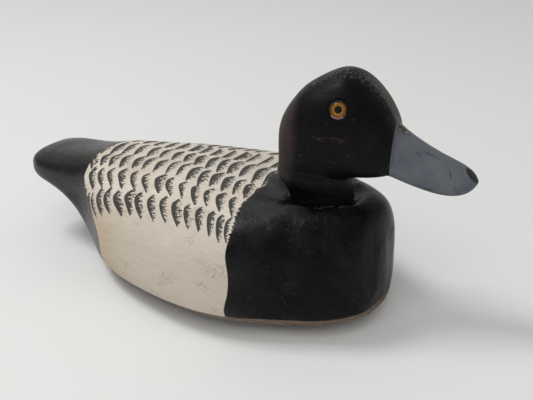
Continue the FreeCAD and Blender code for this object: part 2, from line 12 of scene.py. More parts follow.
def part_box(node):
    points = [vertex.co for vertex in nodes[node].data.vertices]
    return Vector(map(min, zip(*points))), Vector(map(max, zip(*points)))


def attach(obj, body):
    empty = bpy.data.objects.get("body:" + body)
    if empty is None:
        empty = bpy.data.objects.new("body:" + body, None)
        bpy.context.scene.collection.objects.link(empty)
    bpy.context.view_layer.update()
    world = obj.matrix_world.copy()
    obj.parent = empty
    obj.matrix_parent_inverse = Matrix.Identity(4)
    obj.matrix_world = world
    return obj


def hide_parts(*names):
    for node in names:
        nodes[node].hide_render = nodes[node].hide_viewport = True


# The looks of a hand-carved, painted wooden duck decoy, built round its CAD frame.
# Everything is in metres; the paint and carving code works in millimetres.

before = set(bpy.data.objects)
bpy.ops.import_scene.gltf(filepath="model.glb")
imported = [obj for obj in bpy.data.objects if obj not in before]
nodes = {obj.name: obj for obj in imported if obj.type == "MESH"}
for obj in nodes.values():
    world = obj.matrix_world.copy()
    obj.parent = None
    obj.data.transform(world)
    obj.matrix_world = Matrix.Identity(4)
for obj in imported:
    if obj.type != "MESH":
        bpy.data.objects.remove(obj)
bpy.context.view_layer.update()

MM = 0.001
HEAD_TURN = math.radians(17)  # the head's resting turn to the left

# ---- places from the frame


def middle(node):
    low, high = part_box(node)
    return (Vector(low) + Vector(high)) / 2


NECK = middle("neck_dowel")
NECK_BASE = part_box("head")[0][2]
BOARD_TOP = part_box("body_block")[0][2]
HEAD_FRAME = Matrix.Translation((NECK.x, NECK.y, NECK_BASE)) @ Matrix.Rotation(HEAD_TURN, 4, "Z")
HEAD_FRAME_INVERSE = HEAD_FRAME.inverted()

# ---- mesh helpers


def new_object(name, mesh):
    piece = bpy.data.objects.new(name, mesh)
    bpy.context.scene.collection.objects.link(piece)
    return piece


def mesh_from(name, vertices, faces):
    mesh = bpy.data.meshes.new(name)
    mesh.from_pydata(vertices, [], faces)
    mesh.update()
    return mesh


def apply_modifiers(piece):
    """Keep the result of the modifiers as the piece's own mesh."""
    graph = bpy.context.evaluated_depsgraph_get()
    result = bpy.data.meshes.new_from_object(piece.evaluated_get(graph))
    piece.modifiers.clear()
    piece.data = result
    return piece


def smooth_shade(mesh):
    mesh.polygons.foreach_set("use_smooth", [True] * len(mesh.polygons))


def cad_tree(*names):
    """One search tree over the surfaces of some CAD nodes."""
    vertices, faces = [], []
    for name in names:
        mesh = nodes[name].data
        start = len(vertices)
        vertices += [vertex.co.copy() for vertex in mesh.vertices]
        faces += [[start + index for index in polygon.vertices] for polygon in mesh.polygons]
    return BVHTree.FromPolygons(vertices, faces)


def vertex_array(mesh):
    flat = np.empty(len(mesh.vertices) * 3)
    mesh.vertices.foreach_get("co", flat)
    return flat.reshape(-1, 3)


def store_vector(mesh, name, values):
    attribute = mesh.attributes.new(name, "FLOAT_VECTOR", "POINT")
    attribute.data.foreach_set("vector", np.asarray(values, dtype=np.float32).ravel())


def fractal(points, size, octaves=3):
    """Smooth noise from about -1 to 1 at each point; size is the length of its waves."""
    return np.array([noise.fractal(Vector(p) / size, 1.0, 2.0, octaves) for p in points])


def bell(distance, width):
    return np.exp(-(distance / width) ** 2)


# ---- hull carving

HULL_SLICES = 230
HULL_POINTS = 280
FINE_RAYS = 420
CAP_RINGS = 6
END_STEP = 0.25 * MM
CAP_BULGE = 0.5 * MM
REACH = 0.4  # rays start this far out
DOWN = Vector((0, 0, -1))
BESIDE_BORE = 0.0101  # from the hull's middle, clear of the dowel's bore
ON_SEAT = 0.012  # from the hull's middle, on the neck's seat
BORE_REACH = 0.0095
DECK_LEVEL = 0.06  # the deck lies above this
UNCARVED_LEVEL = 0.0062  # below this the board stays flat
SEAT_EDGE = 22.5  # from the neck's axis, in millimetres
UNCARVED_SEAT = 23
TAIL_TIP = -172
SKIN_INSET = 0.25  # keeps the carved skin inside the CAD's size


def hull_stations():
    """X of each slice: closer together towards both rounded ends."""
    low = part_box("body_block")[0][0] + END_STEP
    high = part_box("body_block")[1][0] - END_STEP
    steps = np.linspace(0, 1, HULL_SLICES)
    eased = 0.5 * steps + 0.25 * (1 - np.cos(np.pi * steps))
    return low + (high - low) * eased


def hull_slice(tree, x):
    """Even points round the hull at x, from the deck's middle down the right side."""
    for across in (BESIDE_BORE, 0):
        top = tree.ray_cast(Vector((x, across, REACH)), DOWN)[0]
        bottom = tree.ray_cast(Vector((x, across, -REACH)), -DOWN)[0]
        if top is not None and bottom is not None:
            break
    centre = Vector((x, 0, (top.z + bottom.z) / 2))
    ring = []
    for number in range(FINE_RAYS):
        angle = 2 * math.pi * number / FINE_RAYS
        out = Vector((0, -math.sin(angle), math.cos(angle)))
        hit = tree.ray_cast(centre + out * REACH, -out)[0]
        ring.append((hit.y, hit.z) if hit else (centre.y, centre.z))
    ring = np.array(ring + ring[:1])
    in_bore = np.hypot(x - NECK.x, ring[:, 0]) < BORE_REACH
    seat = tree.ray_cast(Vector((NECK.x, ON_SEAT, REACH)), DOWN)[0].z
    upper = np.abs(np.arange(FINE_RAYS + 1) / FINE_RAYS - 0.5) > 0.25
    ring[in_bore & upper, 1] = seat
    length = np.concatenate([[0], np.cumsum(np.hypot(*np.diff(ring, axis=0).T))])
    even = np.linspace(0, length[-1], HULL_POINTS, endpoint=False)
    y = np.interp(even, length, ring[:, 0])
    z = np.interp(even, length, ring[:, 1])
    girth = np.where(even < length[-1] / 2, even, even - length[-1])
    return np.stack([np.full_like(y, x), y, z], 1), girth


def relax(grid, weight, rounds):
    """Average each point with its neighbours, as strongly as weight says."""
    for _ in range(rounds):
        around = np.roll(grid, 1, 1) + np.roll(grid, -1, 1)
        ends = np.concatenate([grid[:1], grid, grid[-1:]])
        around = (around + ends[:-2] + ends[2:]) / 4
        grid = grid + weight[..., None] * (around - grid)
    return grid


def hull_normals(grid):
    along = np.gradient(grid, axis=0)
    around = np.roll(grid, -1, 1) - np.roll(grid, 1, 1)
    normal = np.cross(around, along)
    length = np.linalg.norm(normal, axis=2, keepdims=True)
    return normal / np.maximum(length, 1e-12)


# Small hurts: along X, girth from the deck's middle (right side positive), radius, depth
HULL_DENTS = (
    (-163, 30, 1.6, 0.5), (-148, 12, 2.5, 0.25), (70, 92, 2.2, 0.4), (92, 104, 1.8, 0.35),
    (84, 60, 3.0, 0.25), (20, 96, 1.6, 0.3), (-30, 110, 2.0, 0.3), (108, -40, 3.5, 0.4),
    (-60, -95, 2.5, 0.4), (40, -80, 3.0, 0.35), (100, -90, 2.2, 0.4), (-120, -30, 2.0, 0.3),
)


def carve_hull(grid, girth):
    """Soften the edges that the carver sanded, then add tool marks and small hurts."""
    from_neck = np.hypot(grid[..., 0] - NECK.x, grid[..., 1]) / MM
    on_deck = grid[..., 2] > DECK_LEVEL
    past_seat = np.clip((from_neck - SEAT_EDGE) / 3, 0, 1)
    dish_edge = np.where(on_deck, past_seat * bell(from_neck - 36, 14), 0)
    chine = bell(grid[..., 2] / MM - 5, 2.5) * 0.6
    ends = np.zeros_like(girth)
    ends[:6] = 0.8
    ends[-6:] = 0.8
    grid = relax(grid, np.maximum(np.maximum(dish_edge, chine), ends), 14)
    normal = hull_normals(grid)
    flat = grid.reshape(-1, 3)
    broad = fractal(flat, 0.055, 2).reshape(girth.shape)
    stretched = flat * np.array([0.22, 1, 1])
    facets = fractal(stretched, 0.011, 2).reshape(girth.shape)
    lift = 0.35 * broad + 0.10 * facets
    x = grid[..., 0] / MM
    lift += 1.1 * bell(x - TAIL_TIP, 7)
    for place, around, radius, depth in HULL_DENTS:
        distance = np.hypot(x - place, girth / MM - around)
        lift -= depth * bell(distance, radius)
    lift -= SKIN_INSET
    seat = (from_neck < UNCARVED_SEAT) & on_deck
    under = grid[..., 2] < UNCARVED_LEVEL
    lift[seat | under] = 0
    return grid + normal * lift[..., None] * MM


def cap_faces(first, count, rings, inward, centre):
    """Faces that close one end through smaller and smaller rings."""
    faces = []
    starts = [first] + rings
    for outer, inner in zip(starts[:-1], starts[1:]):
        for j in range(count):
            k = (j + 1) % count
            face = (outer + j, outer + k, inner + k, inner + j)
            faces.append(face if inward else face[::-1])
    last = starts[-1]
    for j in range(count):
        k = (j + 1) % count
        face = (last + j, last + k, centre)
        faces.append(face if inward else face[::-1])
    return faces


def hull_shell():
    """The whole outer form as one closed mesh with its paint coordinates."""
    tree = cad_tree("body_block", "bottom_board")
    slices = [hull_slice(tree, x) for x in hull_stations()]
    grid = np.array([points for points, girth in slices])
    girth = np.array([values for points, values in slices])
    grid = carve_hull(grid, girth)
    vertices = [tuple(p) for p in grid.reshape(-1, 3)]
    paint = [(p[0] / MM, g / MM, 0) for p, g in zip(grid.reshape(-1, 3), girth.ravel())]
    faces = []
    count = HULL_POINTS
    for i in range(HULL_SLICES - 1):
        for j in range(count):
            k = (j + 1) % count
            faces.append((i * count + j, i * count + k, (i + 1) * count + k, (i + 1) * count + j))
    for row, inward in ((0, False), (HULL_SLICES - 1, True)):
        first = row * count
        centre = grid[row].mean(axis=0)
        outward = -1 if row == 0 else 1
        rings = []
        for number in range(1, CAP_RINGS):
            share = 1 - number / CAP_RINGS
            bulge = outward * CAP_BULGE * (1 - share ** 2)
            rings.append(len(vertices))
            for j in range(count):
                place = centre + (grid[row, j] - centre) * share
                vertices.append((place[0] + bulge, place[1], place[2]))
                paint.append((place[0] / MM, girth[row, j] / MM * share, 0))
        vertices.append((centre[0] + outward * CAP_BULGE, centre[1], centre[2]))
        paint.append((centre[0] / MM, 0, 0))
        faces += cap_faces(first, count, rings, inward, len(vertices) - 1)
    mesh = mesh_from("hull_shell", vertices, faces)
    store_vector(mesh, "paint", paint)
    return mesh


def keep_side(mesh, name, height, upper):
    """One closed part of a mesh, above or below a level cut."""
    work = bmesh.new()
    work.from_mesh(mesh)
    geometry = work.verts[:] + work.edges[:] + work.faces[:]
    bmesh.ops.bisect_plane(
        work, geom=geometry, plane_co=(0, 0, height), plane_no=(0, 0, 1),
        clear_inner=upper, clear_outer=not upper)
    rim = [edge for edge in work.edges if edge.is_boundary]
    bmesh.ops.holes_fill(work, edges=rim, sides=0)
    bmesh.ops.recalc_face_normals(work, faces=work.faces)
    result = bpy.data.meshes.new(name)
    work.to_mesh(result)
    work.free()
    return result


def build_hull(paint):
    shell = hull_shell()
    hull = new_object("carved_hull", keep_side(shell, "carved_hull", BOARD_TOP, True))
    board = new_object("hull_board", keep_side(shell, "hull_board", BOARD_TOP, False))
    for piece, node in ((hull, "body_block"), (board, "bottom_board")):
        smooth_shade(piece.data)
        piece.data.materials.append(paint)
        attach(piece, "hull")
        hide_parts(node)


# ---- head carving

HEAD_VOXEL = 0.8 * MM
BILL_BLUNT = 86  # ahead of here the bill's tip is worn short
BLUNT_RUN = 12
BLUNT_SHARE = 0.10
NECK_FOOT = 1.5  # below this the neck isn't carved
BLEND_LEVELS = 10


def head_places(points):
    """(ahead, left, up) of points in the head's own frame, in millimetres."""
    matrix = np.array(HEAD_FRAME_INVERSE)
    return (points @ matrix[:3, :3].T + matrix[:3, 3]) / MM


def from_head(places):
    matrix = np.array(HEAD_FRAME)
    return (places * MM) @ matrix[:3, :3].T + matrix[:3, 3]


def line_distance(places, start, end):
    """Distance from each place to a straight line between two places."""
    start, end = np.array(start, dtype=float), np.array(end, dtype=float)
    run = end - start
    share = np.clip(((places - start) @ run) / (run @ run), 0, 1)
    return np.linalg.norm(places - (start + share[:, None] * run), axis=1)


# Cuts in the head: start and end in the head's frame, half width, depth
BILL_CUTS = (
    ((47, -7.2, 51.5), (54.5, -2.6, 48.2), 0.7, 0.7),  # carver's notch, right
    ((47, 7.2, 51.5), (54.5, 2.6, 48.2), 0.7, 0.7),  # carver's notch, left
    ((66.2, -6.8, 38.8), (73.8, -6.2, 35.8), 0.85, 0.6),  # nostril, right
    ((66.2, 6.8, 38.8), (73.8, 6.2, 35.8), 0.85, 0.6),  # nostril, left
    ((60.6, -9.5, 39.4), (62.6, -9.9, 37.6), 0.6, 0.6),  # chip by the right nostril
    ((46.5, -16.6, 24.6), (66.0, -16.0, 18.6), 0.6, 0.45), # mouth line, right
    ((66.0, -16.0, 18.6), (88.0, -15.5, 18.6), 0.6, 0.45),
    ((46.5, 16.6, 24.6), (66.0, 16.0, 18.6), 0.6, 0.45),  # mouth line, left
    ((66.0, 16.0, 18.6), (88.0, 15.5, 18.6), 0.6, 0.45),
    ((80.6, -10.0, 30.8), (82.6, -14.1, 26.9), 0.6, 0.5),  # crack towards the tip
    ((78.6, -7.6, 33.2), (79.6, -9.0, 31.9), 0.6, 0.45),
    ((85.4, -16.6, 22.5), (86.0, -16.9, 20.0), 0.5, 0.4),
)


def on_head(place, tree):
    """The nearest point of the CAD head's surface, in the head's frame."""
    nearest = tree.find_nearest(HEAD_FRAME @ (Vector(place) * MM))[0]
    return HEAD_FRAME_INVERSE @ nearest / MM


def surface_cuts():
    tree = cad_tree("head")
    return [(on_head(start, tree), on_head(end, tree), width, depth)
            for start, end, width, depth in BILL_CUTS]


CUTS = surface_cuts()


def carve_head(mesh):
    points = vertex_array(mesh)
    normal = np.empty(len(points) * 3)
    mesh.vertex_normals.foreach_get("vector", normal)
    normal = normal.reshape(-1, 3)
    places = head_places(points)
    broad = fractal(points, 0.03, 2)
    tool = fractal(places * MM * np.array([0.35, 1, 1]), 0.007, 2)
    lift = 0.18 * broad + 0.06 * tool - 0.1
    ahead, _, up = places.T
    crown = np.clip((up - 66) / 8, 0, 1)
    lift += crown * (0.6 * bell(ahead + 16, 9) - 0.7 * bell(ahead - 7, 13))
    lift += 3.7 * bell(up - 17, 8) * np.clip((19 - ahead) / 15, 0, 1)
    for start, end, width, depth in CUTS:
        lift -= depth * bell(line_distance(places, start, end), width)
    lift[up < NECK_FOOT] = 0
    points = points + normal * lift[:, None] * MM
    places = head_places(points)
    beyond = np.maximum(places[:, 0] - BILL_BLUNT, 0)
    places[:, 0] -= beyond * np.minimum(beyond, BLUNT_RUN) / BLUNT_RUN * BLUNT_SHARE
    points = from_head(places)
    mesh.vertices.foreach_set("co", points.ravel())
    store_vector(mesh, "carved", head_places(points))


def build_head(paint):
    mesh = nodes["head"].data.copy()
    mesh.name = "carved_head"
    mesh.materials.clear()
    head = new_object("carved_head", mesh)
    remesh = head.modifiers.new("remesh", "REMESH")
    remesh.mode = "VOXEL"
    remesh.voxel_size = HEAD_VOXEL
    remesh.adaptivity = 0
    apply_modifiers(head)
    soften = head.modifiers.new("soften", "SMOOTH")
    soften.factor = 0.5
    soften.iterations = 40
    soften.vertex_group = blend_group(head)
    apply_modifiers(head)
    head.vertex_groups.clear()
    carve_head(head.data)
    smooth_shade(head.data)
    head.data.materials.append(paint)
    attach(head, "swivel_head")
    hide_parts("head")


def blend_group(head):
    """Vertices to soften: a little everywhere, and most where the cheeks meet the neck."""
    places = head_places(vertex_array(head.data))
    ahead, _, up = places.T
    chin = bell(up - 17, 6) * (ahead < 30)
    weight = np.clip(0.08 + chin, 0, 1)
    weight[up < 1.2] = 0
    group = head.vertex_groups.new(name="blend")
    for level in range(1, BLEND_LEVELS + 1):
        chosen = np.nonzero(np.round(weight * BLEND_LEVELS) == level)[0]
        group.add([int(index) for index in chosen], level / BLEND_LEVELS, "REPLACE")
    return group.name


# ---- shader helper


class Paint:
    """Builds one material. Every input may be a socket or a plain value."""

    def __init__(self, name):
        self.material = bpy.data.materials.new(name)
        self.material.use_nodes = True
        self.tree = self.material.node_tree
        self.tree.nodes.clear()
        self.output = self.tree.nodes.new("ShaderNodeOutputMaterial")
        self.shader = self.tree.nodes.new("ShaderNodeBsdfPrincipled")
        self.tree.links.new(self.shader.outputs["BSDF"], self.output.inputs["Surface"])

    def feed(self, socket, value):
        if isinstance(value, bpy.types.NodeSocket):
            self.tree.links.new(value, socket)
        elif isinstance(value, tuple) and len(value) == 3 and socket.type == "RGBA":
            socket.default_value = (*value, 1)
        else:
            socket.default_value = value

    def set(self, **values):
        for name, value in values.items():
            self.feed(self.shader.inputs[name.replace("_", " ")], value)

    def math(self, operation, *values, clamp=False):
        node = self.tree.nodes.new("ShaderNodeMath")
        node.operation = operation
        node.use_clamp = clamp
        for socket, value in zip(node.inputs, values):
            self.feed(socket, value)
        return node.outputs[0]

    def add(self, a, b):
        return self.math("ADD", a, b)

    def subtract(self, a, b):
        return self.math("SUBTRACT", a, b)

    def times(self, a, b):
        return self.math("MULTIPLY", a, b)

    def square(self, value):
        return self.math("POWER", value, 2.0)

    def length(self, a, b):
        return self.math("SQRT", self.add(self.square(a), self.square(b)))

    def jitter(self, value, amount):
        """Noise as a shift to both sides of nought, half the amount each way at most."""
        return self.times(self.subtract(value, 0.5), amount)

    def blend(self, share, first, second):
        """A number that goes from first to second as share goes from 0 to 1."""
        return self.add(self.times(first, self.subtract(1.0, share)), self.times(second, share))

    def ramp(self, value, low, high, to_low=0.0, to_high=1.0):
        """Smooth step of value between low and high."""
        node = self.tree.nodes.new("ShaderNodeMapRange")
        node.interpolation_type = "SMOOTHSTEP"
        for socket, given in zip(node.inputs[:5], (value, low, high, to_low, to_high)):
            self.feed(socket, given)
        return node.outputs[0]

    def within(self, value, centre, width):
        """1 at centre, falling to 0 at width either side."""
        distance = self.math("ABSOLUTE", self.subtract(value, centre))
        return self.ramp(distance, width, width * 0.3)

    def attribute(self, name):
        node = self.tree.nodes.new("ShaderNodeAttribute")
        node.attribute_name = name
        return node.outputs["Vector"]

    def position(self):
        return self.tree.nodes.new("ShaderNodeTexCoord").outputs["Object"]

    def millimetres(self):
        return self.scale(self.position(), (1000, 1000, 1000))

    def split(self, vector):
        node = self.tree.nodes.new("ShaderNodeSeparateXYZ")
        self.feed(node.inputs[0], vector)
        return node.outputs[:]

    def join(self, x=0.0, y=0.0, z=0.0):
        node = self.tree.nodes.new("ShaderNodeCombineXYZ")
        for socket, value in zip(node.inputs, (x, y, z)):
            self.feed(socket, value)
        return node.outputs[0]

    def scale(self, vector, factors):
        node = self.tree.nodes.new("ShaderNodeVectorMath")
        node.operation = "MULTIPLY"
        self.feed(node.inputs[0], vector)
        node.inputs[1].default_value = factors
        return node.outputs[0]

    def noise(self, vector, scale, detail=2.0, roughness=0.5, distortion=0.0):
        node = self.tree.nodes.new("ShaderNodeTexNoise")
        self.feed(node.inputs["Vector"], vector)
        node.inputs["Scale"].default_value = scale
        node.inputs["Detail"].default_value = detail
        node.inputs["Roughness"].default_value = roughness
        node.inputs["Distortion"].default_value = distortion
        return node.outputs["Fac"]

    def dice(self, vector):
        """Three random numbers that change only with the whole vector."""
        node = self.tree.nodes.new("ShaderNodeTexWhiteNoise")
        self.feed(node.inputs["Vector"], vector)
        return self.split(node.outputs["Color"])

    def mix(self, share, first, second):
        node = self.tree.nodes.new("ShaderNodeMix")
        node.data_type = "RGBA"
        self.feed(node.inputs["Factor"], share)
        self.feed(node.inputs[6], first)
        self.feed(node.inputs[7], second)
        return node.outputs[2]

    def bump(self, height, distance, strength=1.0, normal=None):
        node = self.tree.nodes.new("ShaderNodeBump")
        node.inputs["Strength"].default_value = strength
        node.inputs["Distance"].default_value = distance
        self.feed(node.inputs["Height"], height)
        if normal is not None:
            self.feed(node.inputs["Normal"], normal)
        return node.outputs[0]


# ---- paint colours

CREAM = (0.64, 0.565, 0.47)
CREAM_LIGHT = (0.73, 0.685, 0.61)
CREAM_LINE = (0.36, 0.29, 0.215)
# Painted shade for the cream's sides.
CREAM_SIDE_SHADE = (0.47, 0.41, 0.335)
TAN = (0.54, 0.365, 0.205)
SCRATCH_BROWN = (0.16, 0.12, 0.09)
BLACK = (0.0026, 0.0026, 0.0028)
BLACK_DUSTY = (0.0085, 0.0083, 0.0080)
BROWN_RUB = (0.032, 0.018, 0.013)
# Lighter grey for the top of the tail.
TAIL_TOP_GREY = (0.035, 0.032, 0.029)
FLECK_PALE = (0.20, 0.17, 0.14)
HAIR_GREY = (0.055, 0.050, 0.046)
RING_GREY = (0.040, 0.038, 0.036)
# Painted highlight along the breast's shoulder.
SHOULDER_HIGHLIGHT = (0.048, 0.047, 0.047)
DRY_BLACK = (0.009, 0.0095, 0.009)
WOOD_DARK = (0.13, 0.10, 0.075)
BARE_WOOD = (0.23, 0.175, 0.13)
SEAM_WOOD = (0.26, 0.17, 0.11)

HEAD_BLACK = (0.0015, 0.0015, 0.0016)
HEAD_DUSTY = (0.0050, 0.0047, 0.0044)
# Painted light with a brown tint, for the back of the head.
HEAD_BROWN_LIT = (0.040, 0.029, 0.025)
EYE_RUB = (0.11, 0.060, 0.040)
# Scuffs and painted sheen for the top of the crown.
CROWN_SCUFF_SHEEN = (0.10, 0.095, 0.09)
CROWN_CHIP = (0.42, 0.40, 0.37)
# Painted sheen for the front of the forehead.
FOREHEAD_SHEEN = (0.095, 0.090, 0.078)
BRIDGE_WOOD = (0.34, 0.27, 0.16)
CHIP_PALE = (0.30, 0.27, 0.25)
CHEEK_GREY = (0.022, 0.020, 0.019)
# Painted shade and dirt for the cuts.
CUT_SHADE_AND_DIRT = (0.022, 0.020, 0.018)
BILL_GREY = (0.092, 0.102, 0.118)
BILL_PALE = (0.125, 0.132, 0.146)
BILL_SMEAR = (0.10, 0.10, 0.10)
# Darker grey for the bill's tip.
BILL_TIP_DARK = (0.085, 0.085, 0.085)
NAIL_BLACK = (0.009, 0.009, 0.009)

PUTTY_DARK = (0.24, 0.15, 0.12)
PUTTY_PALE = (0.42, 0.30, 0.25)
PUTTY_PAINTED = (0.010, 0.0095, 0.009)
IRIS_GOLD = (0.85, 0.42, 0.025)
IRIS_BRIGHT = (0.95, 0.58, 0.10)
IRIS_RUST = (0.30, 0.095, 0.003)
IRIS_AMBER = (0.50, 0.17, 0.005)
IRIS_RIM = (0.12, 0.035, 0.006)
PUPIL_BLACK = (0.004, 0.004, 0.004)
PUPIL_BROWN = (0.010, 0.008, 0.007)
GLASS_TINT = (0.01, 0.01, 0.01)
SURFACE_DIM = (0.815, 0.813, 0.80)
SURFACE_PALE = (0.84, 0.838, 0.825)

# ---- crescents on the back

Row = namedtuple("Row", (
    "number", "top", "bottom",  # girths between which the row's strokes run
    "first", "pitch",  # along X, in millimetres
    "rear_lean", "front_lean",  # how far a stroke bows, at the tail and the breast
    "far_lean",  # bow of the left side's strokes, as a share
    "hook",  # extra bow of a stroke's upper end
    "crowding",  # closer strokes towards the breast
    "bold"))


def stroke_bow(paint, x, down, side, row):
    """How far behind its own upper part a stroke lies, down along its length."""
    lean = paint.ramp(x, -80.0, 55.0, row.rear_lean, row.front_lean)
    lean = paint.times(lean, paint.add(1.0, paint.times(side, row.far_lean - 1.0)))
    from_turn = paint.math("ABSOLUTE", paint.subtract(down, 0.24))
    bow = paint.times(paint.times(paint.math("POWER", from_turn, 1.5), 1.5), lean)
    tip = paint.math("MAXIMUM", paint.subtract(0.4, down), 0.0)
    return paint.add(bow, paint.times(paint.square(tip), row.hook))


def stroke_width(paint, down, luck, bold):
    """Thin at both ends and widest near the lower one."""
    thinning = paint.math("POWER", paint.subtract(1.0, down), 0.75)
    swell = paint.times(paint.math("POWER", down, 0.6), thinning)
    return paint.times(paint.times(swell, 2.6 * bold), paint.add(3.7, paint.times(luck, 2.8)))


def crescent_row(paint, x, outward, side, row):
    """One row of dry-brushed crescents; returns how much ink each point carries.

    outward is the girth from the back's middle and side tells left from right.
    """
    span = paint.subtract(row.bottom, row.top)
    down = paint.math("DIVIDE", paint.subtract(outward, row.top), span)
    inside = paint.times(paint.math("GREATER_THAN", down, -0.08), paint.math("LESS_THAN", down, 1.1))
    bow = stroke_bow(paint, x, down, side, row)
    front = paint.math("MAXIMUM", paint.subtract(x, 15.0), 0.0)
    packed = paint.add(x, paint.times(paint.square(front), row.crowding))
    shift = paint.add(row.first, paint.times(side, row.pitch * 0.37))
    along = paint.subtract(paint.subtract(packed, bow), shift)
    cells = paint.math("DIVIDE", along, row.pitch)
    row_and_side = paint.add(row.number, paint.times(side, 10.0))
    luck_a, luck_b, luck_c = paint.dice(paint.join(paint.math("FLOOR", cells), row_and_side, 0.5))
    ahead = paint.times(paint.math("FRACT", cells), row.pitch)
    ahead = paint.subtract(ahead, paint.add(0.4, paint.times(luck_b, 1.8)))
    down = paint.add(down, paint.jitter(luck_a, 0.12))
    down = paint.math("MINIMUM", paint.math("MAXIMUM", down, 0.0), 1.0)
    width = stroke_width(paint, down, luck_c, row.bold)
    teeth = paint.noise(paint.join(paint.times(along, 0.25), outward, row.number), 1.0, 2.0, 0.6)
    bristles = paint.noise(paint.join(along, paint.times(outward, 0.35), row.number), 1.0, 3.0, 0.65)
    reach = paint.times(width, paint.ramp(teeth, 0.32, 0.68, 0.45, 1.6))
    rear_edge = paint.ramp(paint.add(ahead, paint.jitter(teeth, 0.8)), -0.15, 0.3)
    front_edge = paint.ramp(paint.subtract(reach, ahead), -0.15, 0.35)
    depth = paint.math("DIVIDE", ahead, paint.math("MAXIMUM", width, 0.3))
    dryness = paint.add(paint.times(depth, 0.22), paint.times(down, 0.10))
    dryness = paint.add(dryness, paint.times(paint.math("FRACT", paint.times(luck_a, 7.3)), 0.12))
    dryness = paint.add(dryness, paint.ramp(x, -30.0, 45.0, 0.0, 0.06))
    ink = paint.ramp(paint.subtract(paint.add(bristles, 0.47), dryness), 0.46, 0.55)
    stroke = paint.times(paint.times(rear_edge, front_edge), ink)
    return paint.times(paint.times(stroke, inside), paint.ramp(width, 0.25, 0.8))


def crescents(paint, spot):
    """Four rows of crescents down each side of the back, in millimetres of girth."""
    x = spot.x
    mid = paint.add(spot.right, 9.0)
    side = paint.math("LESS_THAN", mid, 0.0)
    outward = paint.add(paint.math("ABSOLUTE", mid), paint.jitter(spot.wobble, 5.0))
    first = paint.ramp(paint.math("ABSOLUTE", paint.add(x, 30.0)), 0.0, 75.0, 20.5, 27.5)
    second = paint.ramp(x, -22.0, 8.0, 42.0, 47.0)
    third = paint.ramp(x, 0.0, 25.0, 63.8, 66.5)
    rows = (
        Row(1.0, -1.0, paint.add(first, 0.5),
            -98.0, 10.6, 8.0, 9.5, -0.4, 12.0, 0.002, 1.15),
        Row(2.0, paint.subtract(first, 0.5), paint.add(second, 0.5),
            -94.3, 10.3, 8.0, 10.0, 0.2, 12.0, 0.003, 1.15),
        Row(3.0, second, third,
            -96.0, 11.4, 17.5, 13.0, 1.0, 2.0, 0.003, 1.10),
        Row(4.0, paint.subtract(third, 0.5), 84.5,
            -83.5, 11.0, 17.5, 13.0, 1.0, 0.0, 0.010, 1.30),
    )
    ink = 0.0
    for row in rows:
        ink = paint.math("MAXIMUM", ink, crescent_row(paint, x, outward, side, row))
    return ink


# ---- hull paint


def hull_spot(paint):
    """What all of the hull's paint is worked out from, in millimetres."""
    x, right, _ = paint.split(paint.attribute("paint"))
    place = paint.millimetres()
    _, across, up = paint.split(place)
    around = paint.math("ABSOLUTE", right)
    flat = paint.join(x, right, 0.0)
    slope = paint.subtract(around, paint.times(x, 0.13))
    hair_place = paint.join(paint.times(x, 0.12), paint.times(right, 0.9), 2.0)
    streak_place = paint.join(paint.times(x, 0.03), paint.times(slope, 0.7), 9.0)
    brush_place = paint.join(paint.times(x, 0.10), paint.times(slope, 1.3), 5.0)
    return SimpleNamespace(
        x=x, right=right, around=around, across=across, up=up, place=place, flat=flat,
        slope=slope,
        wobble=paint.noise(flat, 0.035, 1.0),
        fine=paint.noise(flat, 0.35, 3.0),
        dust=paint.noise(flat, 0.05, 4.0, 0.6),
        hairs=paint.noise(hair_place, 1.0, 3.0, 0.6),
        streak=paint.noise(streak_place, 1.0, 4.0, 0.62, 0.4),
        brush=paint.noise(brush_place, 1.0, 3.0, 0.6))


def black_area(paint, spot):
    """1 on the black breast and tail, 0 on the cream between them."""
    around = spot.around
    edge = paint.ramp(around, 42.0, 72.0, 49.5, 57.0)
    edge = paint.add(paint.ramp(around, 2.0, 18.0, -6.5, 0.0), edge)
    edge = paint.add(edge, paint.ramp(around, 78.0, 96.0, 0.0, 4.0))
    edge = paint.subtract(edge, paint.ramp(around, 98.0, 128.0, 0.0, 5.0))
    ragged = paint.add(0.4, paint.times(paint.ramp(around, 76.0, 66.0), 7.5))
    edge = paint.add(edge, paint.jitter(spot.hairs, ragged))
    edge = paint.add(edge, paint.jitter(spot.wobble, 4.0))
    breast = paint.ramp(paint.subtract(spot.x, edge), -0.3, 0.3)
    tail_edge = paint.ramp(around, 36.0, 97.0, -100.5, -62.0)
    tail_edge = paint.add(tail_edge, paint.jitter(spot.fine, 1.6))
    tail = paint.ramp(paint.subtract(tail_edge, spot.x), -0.3, 0.3)
    return paint.math("MAXIMUM", breast, tail)


def thin_lines(paint, lines, patches, patch_low, patch_high, width):
    """Thin wandering lines where one noise crosses its middle, in patches of another."""
    off_line = paint.math("ABSOLUTE", paint.subtract(lines, 0.5))
    patch = paint.ramp(patches, patch_low, patch_high)
    return paint.times(paint.ramp(off_line, width, width / 3), patch)


